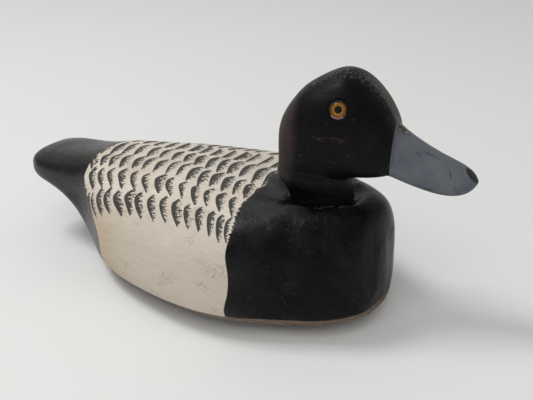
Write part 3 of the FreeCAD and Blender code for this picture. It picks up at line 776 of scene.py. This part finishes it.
def cream_paint(paint, spot, scratch, marks):
    """Cream with tan, brush lines and scratches in it, painted shade down its sides, and the
    crescents over it.
    """
    x, around = spot.x, spot.around
    rear = paint.times(paint.ramp(x, 5.0, -75.0), paint.ramp(around, 55.0, 85.0))
    cloud = paint.noise(spot.flat, 0.022, 2.0)
    tan_share = paint.add(paint.times(rear, 0.95), paint.ramp(cloud, 0.35, 0.75, 0.0, 0.30))
    tan_share = paint.times(tan_share, paint.ramp(spot.streak, 0.30, 0.62, 0.35, 1.0))
    line_place = paint.join(paint.times(x, 0.05), paint.times(spot.slope, 2.2), 3.0)
    lines = paint.ramp(paint.noise(line_place, 1.0, 2.0, 0.55), 0.50, 0.66)
    colour = paint.mix(paint.ramp(spot.brush, 0.3, 0.7), CREAM, CREAM_LIGHT)
    colour = paint.mix(paint.times(lines, 0.30), colour, CREAM_LINE)
    colour = paint.mix(tan_share, colour, TAN)
    # Painted shade: the cream darker down the sides than on the back.
    colour = paint.mix(paint.ramp(around, 50.0, 75.0, 0.0, 0.45), colour, CREAM_SIDE_SHADE)
    colour = paint.mix(paint.times(scratch, 0.55), colour, SCRATCH_BROWN)
    return paint.mix(paint.times(marks, 0.94), colour, DRY_BLACK)


def black_paint(paint, spot):
    """Dusty black with brown rubs, flecks, hair lines and growth rings, a lighter tail top, and a
    painted highlight along the shoulder.
    """
    x, around, flat = spot.x, spot.around, spot.flat
    rub_place = paint.join(paint.times(x, 0.25), spot.right, 7.0)
    rub = paint.ramp(paint.noise(rub_place, 0.09, 4.0, 0.65), 0.58, 0.74)
    rub = paint.times(rub, paint.ramp(x, -60.0, -90.0, 0.25, 1.0))
    colour = paint.mix(paint.ramp(spot.dust, 0.35, 0.75), BLACK, BLACK_DUSTY)
    colour = paint.mix(paint.times(rub, 0.55), colour, BROWN_RUB)
    # Lighter grey on the top of the tail.
    tail_top = paint.times(paint.ramp(x, -98.0, -104.0), paint.ramp(around, 34.0, 26.0))
    colour = paint.mix(paint.times(tail_top, 0.5), colour, TAIL_TOP_GREY)
    fleck = paint.ramp(paint.noise(flat, 0.75, 2.0, 0.5), 0.725, 0.755)
    colour = paint.mix(paint.times(fleck, 0.75), colour, FLECK_PALE)
    hair_line = thin_lines(paint, paint.noise(flat, 0.10, 2.0, 0.5, 1.0),
                           paint.noise(flat, 0.06, 2.0), 0.52, 0.62, 0.006)
    colour = paint.mix(paint.times(hair_line, 0.5), colour, HAIR_GREY)
    from_knot = paint.length(paint.times(paint.subtract(x, 70.0), 0.6), paint.subtract(around, 54.0))
    from_knot = paint.add(from_knot, paint.times(spot.wobble, 3.0))
    rings = paint.ramp(paint.math("SINE", paint.times(from_knot, 3.4)), 0.55, 0.95)
    rings = paint.times(rings, paint.ramp(from_knot, 26.0, 12.0))
    colour = paint.mix(paint.times(rings, paint.times(spot.hairs, 0.3)), colour, RING_GREY)
    # Painted highlight: a lighter band along the breast's shoulder.
    shoulder = paint.within(paint.add(around, paint.times(spot.wobble, 6.0)), 47.0, 12.0)
    shoulder_highlight = paint.times(shoulder, paint.ramp(x, 100.0, 72.0))
    shoulder_highlight = paint.times(shoulder_highlight, paint.ramp(spot.hairs, 0.35, 0.65, 0.6, 1.0))
    return paint.mix(paint.times(shoulder_highlight, 0.7), colour, SHOULDER_HIGHLIGHT)


def bare_wood(paint, spot):
    """The wood's colour, and how far it shows along the hull's lower edge."""
    low_edge = paint.ramp(spot.x, -60.0, 20.0, 13.6, 15.2)
    low_edge = paint.add(low_edge, paint.jitter(spot.fine, 1.2))
    share = paint.ramp(paint.subtract(spot.up, low_edge), 0.35, -0.35)
    grain_place = paint.join(
        paint.times(spot.x, 0.03), paint.times(spot.across, 0.4), paint.times(spot.up, 0.6))
    grain = paint.noise(grain_place, 1.0, 5.0, 0.65, 0.6)
    return paint.mix(paint.ramp(grain, 0.3, 0.7), WOOD_DARK, BARE_WOOD), share


def neck_seam(paint, spot):
    """Paint broken away in places where the neck turns on its seat."""
    from_neck = paint.length(paint.subtract(spot.x, NECK.x / MM), spot.across)
    broken = paint.ramp(paint.noise(spot.place, 0.09, 3.0), 0.55, 0.60)
    seam = paint.times(paint.within(from_neck, 21.3, 0.7), broken)
    return paint.times(seam, paint.ramp(spot.up, 60.0, 62.0))


def hull_relief(paint, spot, scratch, marks):
    """Height of the brushwork, the wood's growth rings, the crescents and the scratches."""
    rings = paint.length(paint.add(spot.across, 14.0), paint.add(spot.up, 30.0))
    rings = paint.add(rings, paint.times(paint.noise(spot.place, 0.018, 2.0), 22.0))
    growth = paint.math("SINE", paint.times(rings, 2.4))
    relief = paint.add(paint.times(spot.brush, 0.5), paint.times(spot.streak, 0.7))
    relief = paint.add(relief, paint.times(growth, 0.10))
    relief = paint.add(relief, paint.times(marks, 0.35))
    return paint.subtract(relief, paint.times(scratch, 0.8))


def hull_paint():
    paint = Paint("hull_paint")
    spot = hull_spot(paint)
    black = black_area(paint, spot)
    scratch = thin_lines(paint, paint.noise(spot.flat, 0.16, 3.0, 0.6, 1.5),
                         paint.noise(spot.flat, 0.05, 1.0), 0.56, 0.64, 0.012)
    marks = crescents(paint, spot)
    wood, bare = bare_wood(paint, spot)
    colour = paint.mix(black, cream_paint(paint, spot, scratch, marks), black_paint(paint, spot))
    colour = paint.mix(bare, colour, wood)
    colour = paint.mix(neck_seam(paint, spot), colour, SEAM_WOOD)
    normal = paint.bump(hull_relief(paint, spot, scratch, marks), 0.00022, 0.9)
    normal = paint.bump(black, 0.00012, 0.6, normal)
    rough_cream = paint.ramp(spot.brush, 0.2, 0.8, 0.62, 0.78)
    uneven = paint.add(paint.times(spot.dust, 0.6), paint.times(spot.brush, 0.4))
    rough_black = paint.ramp(uneven, 0.3, 0.7, 0.22, 0.34)
    rough = paint.blend(black, rough_cream, rough_black)
    rough = paint.math("MAXIMUM", rough, paint.times(bare, 0.85))
    shine = paint.add(0.35, paint.times(black, paint.ramp(spot.x, 85.0, 45.0, -0.26, -0.12)))
    paint.set(Base_Color=colour, Roughness=rough, Normal=normal, Specular_IOR_Level=shine)
    return paint.material


# ---- head paint


def head_spot(paint):
    """What all of the head's paint is worked out from, in the head's own millimetres."""
    place = paint.attribute("carved")
    ahead, left, up = paint.split(place)
    return SimpleNamespace(
        place=place, ahead=ahead, left=left, up=up, side=paint.math("ABSOLUTE", left),
        fine=paint.noise(place, 0.35, 3.0),
        dust=paint.noise(place, 0.06, 4.0, 0.6),
        hair=paint.noise(paint.scale(place, (0.12, 0.5, 1.3)), 1.0, 4.0, 0.6, 0.5),
        cloud=paint.noise(place, 0.08, 3.0, 0.6))


def bill_area(paint, spot):
    """1 on the bill. The face's edge leans forward at the top and ends in a point there."""
    boundary = paint.ramp(spot.up, 22.0, 50.0, 45.2, 46.6)
    vee = paint.times(paint.ramp(spot.side, 7.0, 1.5), 7.0)
    boundary = paint.add(paint.add(boundary, vee), paint.jitter(spot.fine, 0.8))
    return paint.ramp(paint.subtract(spot.ahead, boundary), -0.2, 0.2)


def black_head(paint, spot):
    """Black, with painted light in brown on the back of the head, and worn brown in a line below the
    eye.
    """
    ahead, up = spot.ahead, spot.up
    colour = paint.mix(paint.ramp(spot.dust, 0.4, 0.75), HEAD_BLACK, HEAD_DUSTY)
    # Painted light: the back of the head lighter and brownish where it catches the light.
    edge = paint.add(ahead, paint.jitter(spot.fine, 3.0))
    edge = paint.add(edge, paint.times(paint.square(paint.subtract(up, 45.0)), 0.0045))
    back = paint.times(paint.ramp(edge, -9.5, -17.0), paint.ramp(spot.dust, 0.3, 0.6, 0.5, 1.0))
    colour = paint.mix(paint.times(back, 0.8), colour, HEAD_BROWN_LIT)
    below_eye = paint.within(paint.subtract(up, paint.times(spot.fine, 2.0)), 47.0, 1.9)
    rub = paint.times(below_eye, paint.within(ahead, 9.0, 14.0))
    rub = paint.times(rub, paint.ramp(spot.hair, 0.46, 0.62))
    return paint.mix(paint.times(rub, 0.55), colour, EYE_RUB)


def crown_wear(paint, spot, colour):
    """Scuffs with painted sheen and chips on the crown, a painted sheen on the forehead and bare wood
    above the bill.
    """
    place, side, ahead = spot.place, spot.side, spot.ahead
    # Scuffs and painted sheen lighten the top of the crown.
    top = paint.times(paint.ramp(side, 15.0, 6.0), paint.ramp(spot.up, 58.0, 72.0))
    scuff_and_sheen = paint.ramp(paint.noise(place, 0.5, 4.0, 0.7), 0.44, 0.64)
    colour = paint.mix(paint.times(paint.times(top, scuff_and_sheen), 0.62), colour, CROWN_SCUFF_SHEEN)
    chip = paint.times(top, paint.ramp(paint.noise(place, 0.55, 2.0, 0.5), 0.68, 0.72))
    colour = paint.mix(chip, colour, CROWN_CHIP)
    # Painted sheen: a lighter grey strip down the front of the forehead.
    forehead_sheen = paint.times(paint.ramp(side, 7.5, 6.0), paint.ramp(ahead, 22.0, 40.0))
    forehead_sheen = paint.times(forehead_sheen, paint.ramp(spot.hair, 0.3, 0.6, 0.4, 1.0))
    colour = paint.mix(paint.times(forehead_sheen, 0.75), colour, FOREHEAD_SHEEN)
    worn = paint.times(paint.within(ahead, 51.0, 5.5), paint.ramp(side, 6.5, 3.5))
    worn = paint.times(worn, paint.ramp(paint.noise(place, 0.25, 3.0), 0.40, 0.60))
    return paint.mix(paint.times(worn, 0.85), colour, BRIDGE_WOOD)


def cheek_ridges(paint, spot):
    """Long tool ridges on the cheeks, and how strongly they show."""
    sloped = paint.add(paint.times(spot.up, 1.1), paint.times(spot.ahead, 0.28))
    ridge_place = paint.join(paint.times(spot.ahead, 0.07), sloped, paint.times(spot.left, 0.07))
    ridges = paint.noise(ridge_place, 1.0, 2.0, 0.55)
    zone = paint.times(paint.ramp(spot.up, 44.0, 30.0), paint.ramp(spot.ahead, 44.0, 20.0, 0.35, 1.0))
    return ridges, zone


def bill_paint(paint, spot):
    """Blue-grey and smeared, darker towards the tip, with a black nail."""
    smear = paint.noise(paint.scale(spot.place, (0.06, 0.4, 0.4)), 1.0, 4.0, 0.6)
    colour = paint.mix(paint.ramp(spot.cloud, 0.3, 0.7), BILL_GREY, BILL_PALE)
    colour = paint.mix(paint.ramp(smear, 0.55, 0.75, 0.0, 0.35), colour, BILL_SMEAR)
    # Darker towards the tip.
    darker_tip = paint.times(paint.ramp(spot.ahead, 62.0, 84.0), paint.ramp(spot.cloud, 0.4, 0.7))
    colour = paint.mix(paint.times(darker_tip, 0.5), colour, BILL_TIP_DARK)
    nail_ahead = paint.math("DIVIDE", paint.subtract(spot.ahead, 93.6), 4.0)
    nail_side = paint.math("DIVIDE", spot.side, 6.6)
    nail = paint.add(paint.square(nail_ahead), paint.square(nail_side))
    nail = paint.ramp(paint.add(nail, paint.times(spot.fine, 0.4)), 1.25, 1.15)
    nail = paint.times(nail, paint.ramp(spot.up, 17.0, 18.5))
    return paint.mix(nail, colour, NAIL_BLACK)


def head_paint():
    paint = Paint("head_paint")
    spot = head_spot(paint)
    bill = bill_area(paint, spot)
    ridges, ridge_zone = cheek_ridges(paint, spot)
    black = crown_wear(paint, spot, black_head(paint, spot))
    chip = paint.ramp(paint.noise(spot.place, 0.7, 2.0, 0.5), 0.735, 0.765)
    black = paint.mix(paint.times(chip, 0.8), black, CHIP_PALE)
    ridge_line = paint.times(paint.ramp(ridges, 0.54, 0.66), ridge_zone)
    black = paint.mix(paint.times(ridge_line, 0.4), black, CHEEK_GREY)
    colour = paint.mix(bill, black, bill_paint(paint, spot))
    # Painted shade and dirt darken the cuts.
    colour = paint.mix(paint.times(cut_lines(paint, spot.place), 0.85), colour, CUT_SHADE_AND_DIRT)
    broken = paint.ramp(paint.noise(spot.place, 0.12, 3.0), 0.50, 0.56)
    lower = paint.times(paint.ramp(spot.up, 1.1, 0.5), broken)
    colour = paint.mix(paint.times(lower, 0.8), colour, SEAM_WOOD)
    relief = paint.add(paint.times(spot.hair, 0.8), paint.times(spot.fine, 0.3))
    relief = paint.add(relief, paint.times(paint.times(ridges, ridge_zone), 0.9))
    normal = paint.bump(relief, 0.00024, 0.8)
    normal = paint.bump(bill, 0.0001, 0.5, normal)
    uneven = paint.add(paint.times(spot.dust, 0.5), paint.times(spot.hair, 0.5))
    rough_black = paint.ramp(uneven, 0.3, 0.7, 0.34, 0.56)
    rough_bill = paint.ramp(spot.cloud, 0.3, 0.7, 0.46, 0.60)
    rough = paint.blend(bill, rough_black, rough_bill)
    shine = paint.ramp(bill, 0.0, 1.0, 0.13, 0.25)
    paint.set(Base_Color=colour, Roughness=rough, Normal=normal, Specular_IOR_Level=shine)
    return paint.material


def cut_lines(paint, place):
    """Painted shade, dark paint and dirt in the cuts, found by how near a point is to each."""
    total = 0.0
    for start, end, width, depth in CUTS:
        run = end - start
        offset = paint.tree.nodes.new("ShaderNodeVectorMath")
        offset.operation = "SUBTRACT"
        paint.feed(offset.inputs[0], place)
        offset.inputs[1].default_value = start
        dot = paint.tree.nodes.new("ShaderNodeVectorMath")
        dot.operation = "DOT_PRODUCT"
        paint.feed(dot.inputs[0], offset.outputs[0])
        dot.inputs[1].default_value = run / run.length_squared
        share = paint.math("ADD", dot.outputs["Value"], 0.0, clamp=True)
        nearest = paint.tree.nodes.new("ShaderNodeVectorMath")
        nearest.operation = "MULTIPLY_ADD"
        nearest.inputs[0].default_value = run
        paint.feed(nearest.inputs[1], paint.join(share, share, share))
        nearest.inputs[2].default_value = start
        gap = paint.tree.nodes.new("ShaderNodeVectorMath")
        gap.operation = "DISTANCE"
        paint.feed(gap.inputs[0], place)
        paint.feed(gap.inputs[1], nearest.outputs[0])
        line = paint.ramp(gap.outputs["Value"], width * 1.3, width * 0.4, 0.0, min(1.0, depth * 1.6))
        total = paint.math("MAXIMUM", total, line)
    return total


# ---- plain hardware finishes


def metal(name, colour, stain, rough, metallic=1.0):
    """Tarnished metal: stains, fine scratches and uneven gloss."""
    paint = Paint(name)
    place = paint.millimetres()
    stains = paint.noise(place, 0.35, 4.0, 0.65)
    grit = paint.noise(place, 3.0, 3.0, 0.6)
    tint = paint.mix(paint.ramp(stains, 0.35, 0.7), colour, stain)
    paint.set(Base_Color=tint, Metallic=metallic,
              Roughness=paint.ramp(stains, 0.3, 0.7, rough, min(1.0, rough + 0.25)),
              Normal=paint.bump(grit, 0.00008, 0.6))
    return paint.material


def putty_paint():
    paint = Paint("putty")
    place = paint.millimetres()
    lumps = paint.noise(place, 0.9, 4.0, 0.65)
    _, _, height = paint.split(paint.attribute("disc_up"))
    ragged = paint.add(height, paint.jitter(paint.noise(place, 0.7, 3.0, 0.6), 14.0))
    black = paint.ramp(ragged, -3.8, -3.0)
    colour = paint.mix(paint.ramp(lumps, 0.35, 0.65), PUTTY_DARK, PUTTY_PALE)
    colour = paint.mix(black, colour, PUTTY_PAINTED)
    paint.set(Base_Color=colour, Roughness=0.8, Normal=paint.bump(lumps, 0.0003, 0.8))
    return paint.material


def iris_paint():
    paint = Paint("iris")
    x, y, _ = paint.split(paint.attribute("disc"))
    radius = paint.length(x, y)
    fibres = paint.noise(paint.attribute("disc"), 3.0, 3.0, 0.6)
    inner = paint.mix(paint.ramp(fibres, 0.3, 0.7), IRIS_GOLD, IRIS_BRIGHT)
    outer = paint.mix(paint.ramp(fibres, 0.3, 0.7), IRIS_RUST, IRIS_AMBER)
    edge = paint.add(radius, paint.jitter(fibres, 0.5))
    colour = paint.mix(paint.ramp(edge, 2.5, 3.1), inner, outer)
    colour = paint.mix(paint.ramp(radius, 4.3, 4.75), colour, IRIS_RIM)
    paint.set(Base_Color=colour, Roughness=0.45, Specular_IOR_Level=0.06,
              Normal=paint.bump(fibres, 0.00005, 0.5))
    return paint.material


def pupil_paint():
    paint = Paint("pupil")
    swirl = paint.noise(paint.millimetres(), 0.6, 2.0)
    colour = paint.mix(swirl, PUPIL_BLACK, PUPIL_BROWN)
    paint.set(Base_Color=colour, Roughness=0.15, Specular_IOR_Level=0.1)
    return paint.material


def glass_paint():
    paint = Paint("eye_glass")
    haze = paint.noise(paint.millimetres(), 0.8, 3.0)
    paint.set(Base_Color=GLASS_TINT, Alpha=0.16, Specular_IOR_Level=0.8,
              Roughness=paint.ramp(haze, 0.4, 0.8, 0.02, 0.06))
    return paint.material


# ---- eyes

LATHE_STEPS = 64
IRIS_HALF = 0.65  # half the iris's thickness
PUPIL_RADIUS = 2.5
GLASS_RADIUS = 4.85
GLASS_EDGE = 0.45
GLASS_CROWN = 2.2
DOME_RINGS = 15
PUTTY_RIM_LEVEL = 0.8  # the filler above this is roughened


def lathe(name, profile, matrix):
    """Turn (radius, height) points, in millimetres, about Z and place the result."""
    vertices, faces, rows = [], [], []
    for radius, height in profile:
        if radius == 0:
            rows.append([len(vertices)] * LATHE_STEPS)
            vertices.append((0, 0, height))
            continue
        rows.append([len(vertices) + k for k in range(LATHE_STEPS)])
        for k in range(LATHE_STEPS):
            angle = 2 * math.pi * k / LATHE_STEPS
            vertices.append((radius * math.cos(angle), radius * math.sin(angle), height))
    pairs = list(zip(rows[:-1], rows[1:]))
    if profile[0][0] != 0:
        pairs.append((rows[-1], rows[0]))
    for lower, upper in pairs:
        for k in range(LATHE_STEPS):
            n = (k + 1) % LATHE_STEPS
            corners = [lower[k], lower[n], upper[n], upper[k]]
            face = tuple(dict.fromkeys(corners))
            if len(face) > 2:
                faces.append(face)
    mesh = mesh_from(name, vertices, faces)
    store_vector(mesh, "disc", vertices)
    mesh.transform(matrix @ Matrix.Scale(MM, 4))
    level = [tuple((vertex.co - matrix.translation) / MM) for vertex in mesh.vertices]
    store_vector(mesh, "disc_up", level)
    smooth_shade(mesh)
    return new_object(name, mesh)


def eye_frame(side):
    """Z out of the head along the eye's axis, origin at the middle of the iris."""
    iris = middle(side + "_eye_iris")
    stem = middle(side + "_eye_wire")
    out = (iris - stem).normalized()
    turn = out.to_track_quat("Z", "Y").to_matrix().to_4x4()
    return Matrix.Translation(iris) @ turn


def dome_profile():
    """The clear front: a short straight edge, then part of a ball."""
    edge = IRIS_HALF + GLASS_EDGE
    ball = (GLASS_RADIUS ** 2 + GLASS_CROWN ** 2) / (2 * GLASS_CROWN)
    points = [(0, IRIS_HALF), (GLASS_RADIUS, IRIS_HALF), (GLASS_RADIUS, edge)]
    for number in range(1, DOME_RINGS):
        radius = GLASS_RADIUS * math.cos(number / DOME_RINGS * math.pi / 2)
        points.append((radius, edge + math.sqrt(ball ** 2 - radius ** 2) - (ball - GLASS_CROWN)))
    points.append((0, edge + GLASS_CROWN))
    return points


def iris_profile():
    """A flat ring, a little lower at its rim and at the pupil."""
    front = IRIS_HALF
    return [
        (PUPIL_RADIUS, -front), (GLASS_RADIUS, -front), (GLASS_RADIUS, front - 0.15),
        (GLASS_RADIUS - 0.4, front - 0.08), (3.6, front - 0.12),
        (PUPIL_RADIUS + 0.2, front - 0.25), (PUPIL_RADIUS, front - 0.3)]


def pupil_profile():
    """A bead that fills the iris's hole and rises in the middle."""
    front = IRIS_HALF
    side = PUPIL_RADIUS - 0.02
    return [
        (0, -front), (side, -front), (side, front - 0.3), (PUPIL_RADIUS - 0.5, front - 0.16),
        (PUPIL_RADIUS - 1.4, front - 0.1), (0, front - 0.08)]


def build_eye(side, finishes):
    matrix = eye_frame(side)
    glass = lathe(side + "_glass_dome", dome_profile(), matrix)
    iris = lathe(side + "_iris_disc", iris_profile(), matrix)
    black = lathe(side + "_pupil_bead", pupil_profile(), matrix)
    putty = lathe(side + "_putty_ring", putty_profile(), matrix)
    roughen_putty(putty.data, matrix)
    for piece, node, slot in (
            (glass, "glass", "eye_glass"), (iris, "iris", "eye_iris"),
            (black, "pupil", "eye_pupil"), (putty, "putty", "putty")):
        piece.data.materials.append(finishes[slot])
        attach(piece, "swivel_head")
        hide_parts(side + "_eye_" + node)


def putty_profile():
    """A cup whose rim stands a little proud round the glass."""
    floor, rim = -1.65, 1.5
    points = [(0.6, floor), (5.7, floor), (5.75, rim - 0.6)]
    for number in range(7):
        angle = math.pi * number / 6
        points.append((5.3 + 0.38 * math.cos(angle), rim - 0.55 + 0.3 * math.sin(angle)))
    points += [(4.88, 0.6), (4.88, -0.65), (0.6, -0.65)]
    return points


def roughen_putty(mesh, matrix):
    """Make the rim uneven and, on the whole, a little lower."""
    inverse = matrix.inverted()
    for vertex in mesh.vertices:
        local = (inverse @ vertex.co) / MM
        if local.z < PUTTY_RIM_LEVEL:
            continue
        lump = noise.noise(local * 1.1) * 0.28 - 0.12
        local.z += lump
        vertex.co = matrix @ (local * MM)


# ---- stage


CAMERA_AZIMUTH = math.radians(34.5)
CAMERA_ELEVATION = math.radians(23.0)
CAMERA_DISTANCE = 0.626
CAMERA_TARGET = Vector((0.0317, 0.0104, 0.061))
FOCAL_WIDTHS = 900 / 533  # focal length in picture widths
SENSOR_WIDTH = 36
FLOOR_HALF_WIDTH = 5
FLOOR_FRONT = -2.5
FLOOR_BACK = 1.2
COVE_RADIUS = 0.8
COVE_STEPS = 12
WALL_TOP = 3.0

LIGHTS = (
    # name, azimuth, elevation, distance, size, power, seen in glossy surfaces
    ("front", 36, 28, 2.5, 1.6, 11.0, False),
    ("window", 14, 54, 2.6, 1.6, 12.0, False),
    ("overhead", -66, 62, 2.2, 0.7, 19.0, True),
)


def build_stage():
    """A pale surface that curves up into a wall behind the decoy."""
    paint = Paint("pale_surface")
    place = paint.position()
    cloud = paint.noise(place, 1.6, 3.0)
    paint.set(Base_Color=paint.mix(cloud, SURFACE_DIM, SURFACE_PALE), Roughness=0.7)
    vertices, faces = [], []
    rise = [(FLOOR_FRONT, 0), (FLOOR_BACK, 0)]
    for number in range(1, COVE_STEPS + 1):
        angle = math.pi / 2 * number / COVE_STEPS
        rise.append((FLOOR_BACK + COVE_RADIUS * math.sin(angle), COVE_RADIUS * (1 - math.cos(angle))))
    rise.append((FLOOR_BACK + COVE_RADIUS, WALL_TOP))
    turn = Matrix.Rotation(CAMERA_AZIMUTH, 4, "Z")
    for distance, height in rise:
        for across in (-FLOOR_HALF_WIDTH, FLOOR_HALF_WIDTH):
            vertices.append(turn @ Vector((across, distance, height)))
    for number in range(len(rise) - 1):
        faces.append((2 * number, 2 * number + 1, 2 * number + 3, 2 * number + 2))
    floor = new_object("floor", mesh_from("floor", [tuple(v) for v in vertices], faces))
    smooth_shade(floor.data)
    floor.data.materials.append(paint.material)


def build_camera():
    camera = bpy.data.objects.new("camera", bpy.data.cameras.new("camera"))
    bpy.context.scene.collection.objects.link(camera)
    back = Vector((
        math.sin(CAMERA_AZIMUTH) * math.cos(CAMERA_ELEVATION),
        -math.cos(CAMERA_AZIMUTH) * math.cos(CAMERA_ELEVATION),
        math.sin(CAMERA_ELEVATION)))
    camera.location = CAMERA_TARGET + back * CAMERA_DISTANCE
    camera.rotation_euler = (-back).to_track_quat("-Z", "Y").to_euler()
    camera.data.sensor_width = SENSOR_WIDTH
    camera.data.lens = SENSOR_WIDTH * FOCAL_WIDTHS
    bpy.context.scene.camera = camera


def area_light(name, azimuth, elevation, distance, size, power, glossy):
    """A soft square light, aimed at the decoy. Angles as for the camera."""
    a, e = math.radians(azimuth), math.radians(elevation)
    back = Vector((math.sin(a) * math.cos(e), -math.cos(a) * math.cos(e), math.sin(e)))
    light = bpy.data.lights.new(name, "AREA")
    light.shape = "SQUARE"
    light.size = size
    light.energy = power
    lamp = bpy.data.objects.new(name, light)
    lamp.location = back * distance
    lamp.rotation_euler = (-back).to_track_quat("-Z", "Y").to_euler()
    lamp.visible_glossy = glossy
    bpy.context.scene.collection.objects.link(lamp)


def build_lights():
    world = bpy.data.worlds.new("world")
    bpy.context.scene.world = world
    world.use_nodes = True
    background = world.node_tree.nodes["Background"]
    background.inputs["Color"].default_value = (0.98, 0.99, 1.0, 1)
    background.inputs["Strength"].default_value = 0.37
    for light in LIGHTS:
        area_light(*light)
    bpy.context.scene.view_settings.view_transform = "Standard"


# ---- build

build_camera()
build_stage()
build_lights()
build_hull(hull_paint())
build_head(head_paint())
FINISHES = {
    "eye_glass": glass_paint(), "eye_iris": iris_paint(), "eye_pupil": pupil_paint(),
    "putty": putty_paint(),
}
for eye_side in ("left", "right"):
    build_eye(eye_side, FINISHES)

STEEL = metal("steel", (0.42, 0.40, 0.38), (0.17, 0.10, 0.06), 0.38)
BRASS = metal("brass", (0.60, 0.44, 0.19), (0.22, 0.16, 0.08), 0.30)
LEAD = metal("lead", (0.25, 0.26, 0.28), (0.36, 0.36, 0.36), 0.52, 0.8)
DOWEL = metal("dowel_wood", (0.50, 0.34, 0.19), (0.38, 0.24, 0.13), 0.65, 0.0)
for node_name, finish in (
        ("bottom_board_nails", STEEL), ("ballast_weight", LEAD), ("ballast_screws", BRASS),
        ("line_tie_staple", STEEL), ("line_tie_ring", BRASS), ("neck_dowel", DOWEL),
        ("neck_screw", STEEL), ("neck_washer", STEEL), ("left_eye_wire", STEEL),
        ("right_eye_wire", STEEL)):
    cad = nodes[node_name]
    cad.data.materials.clear()
    cad.data.materials.append(finish)
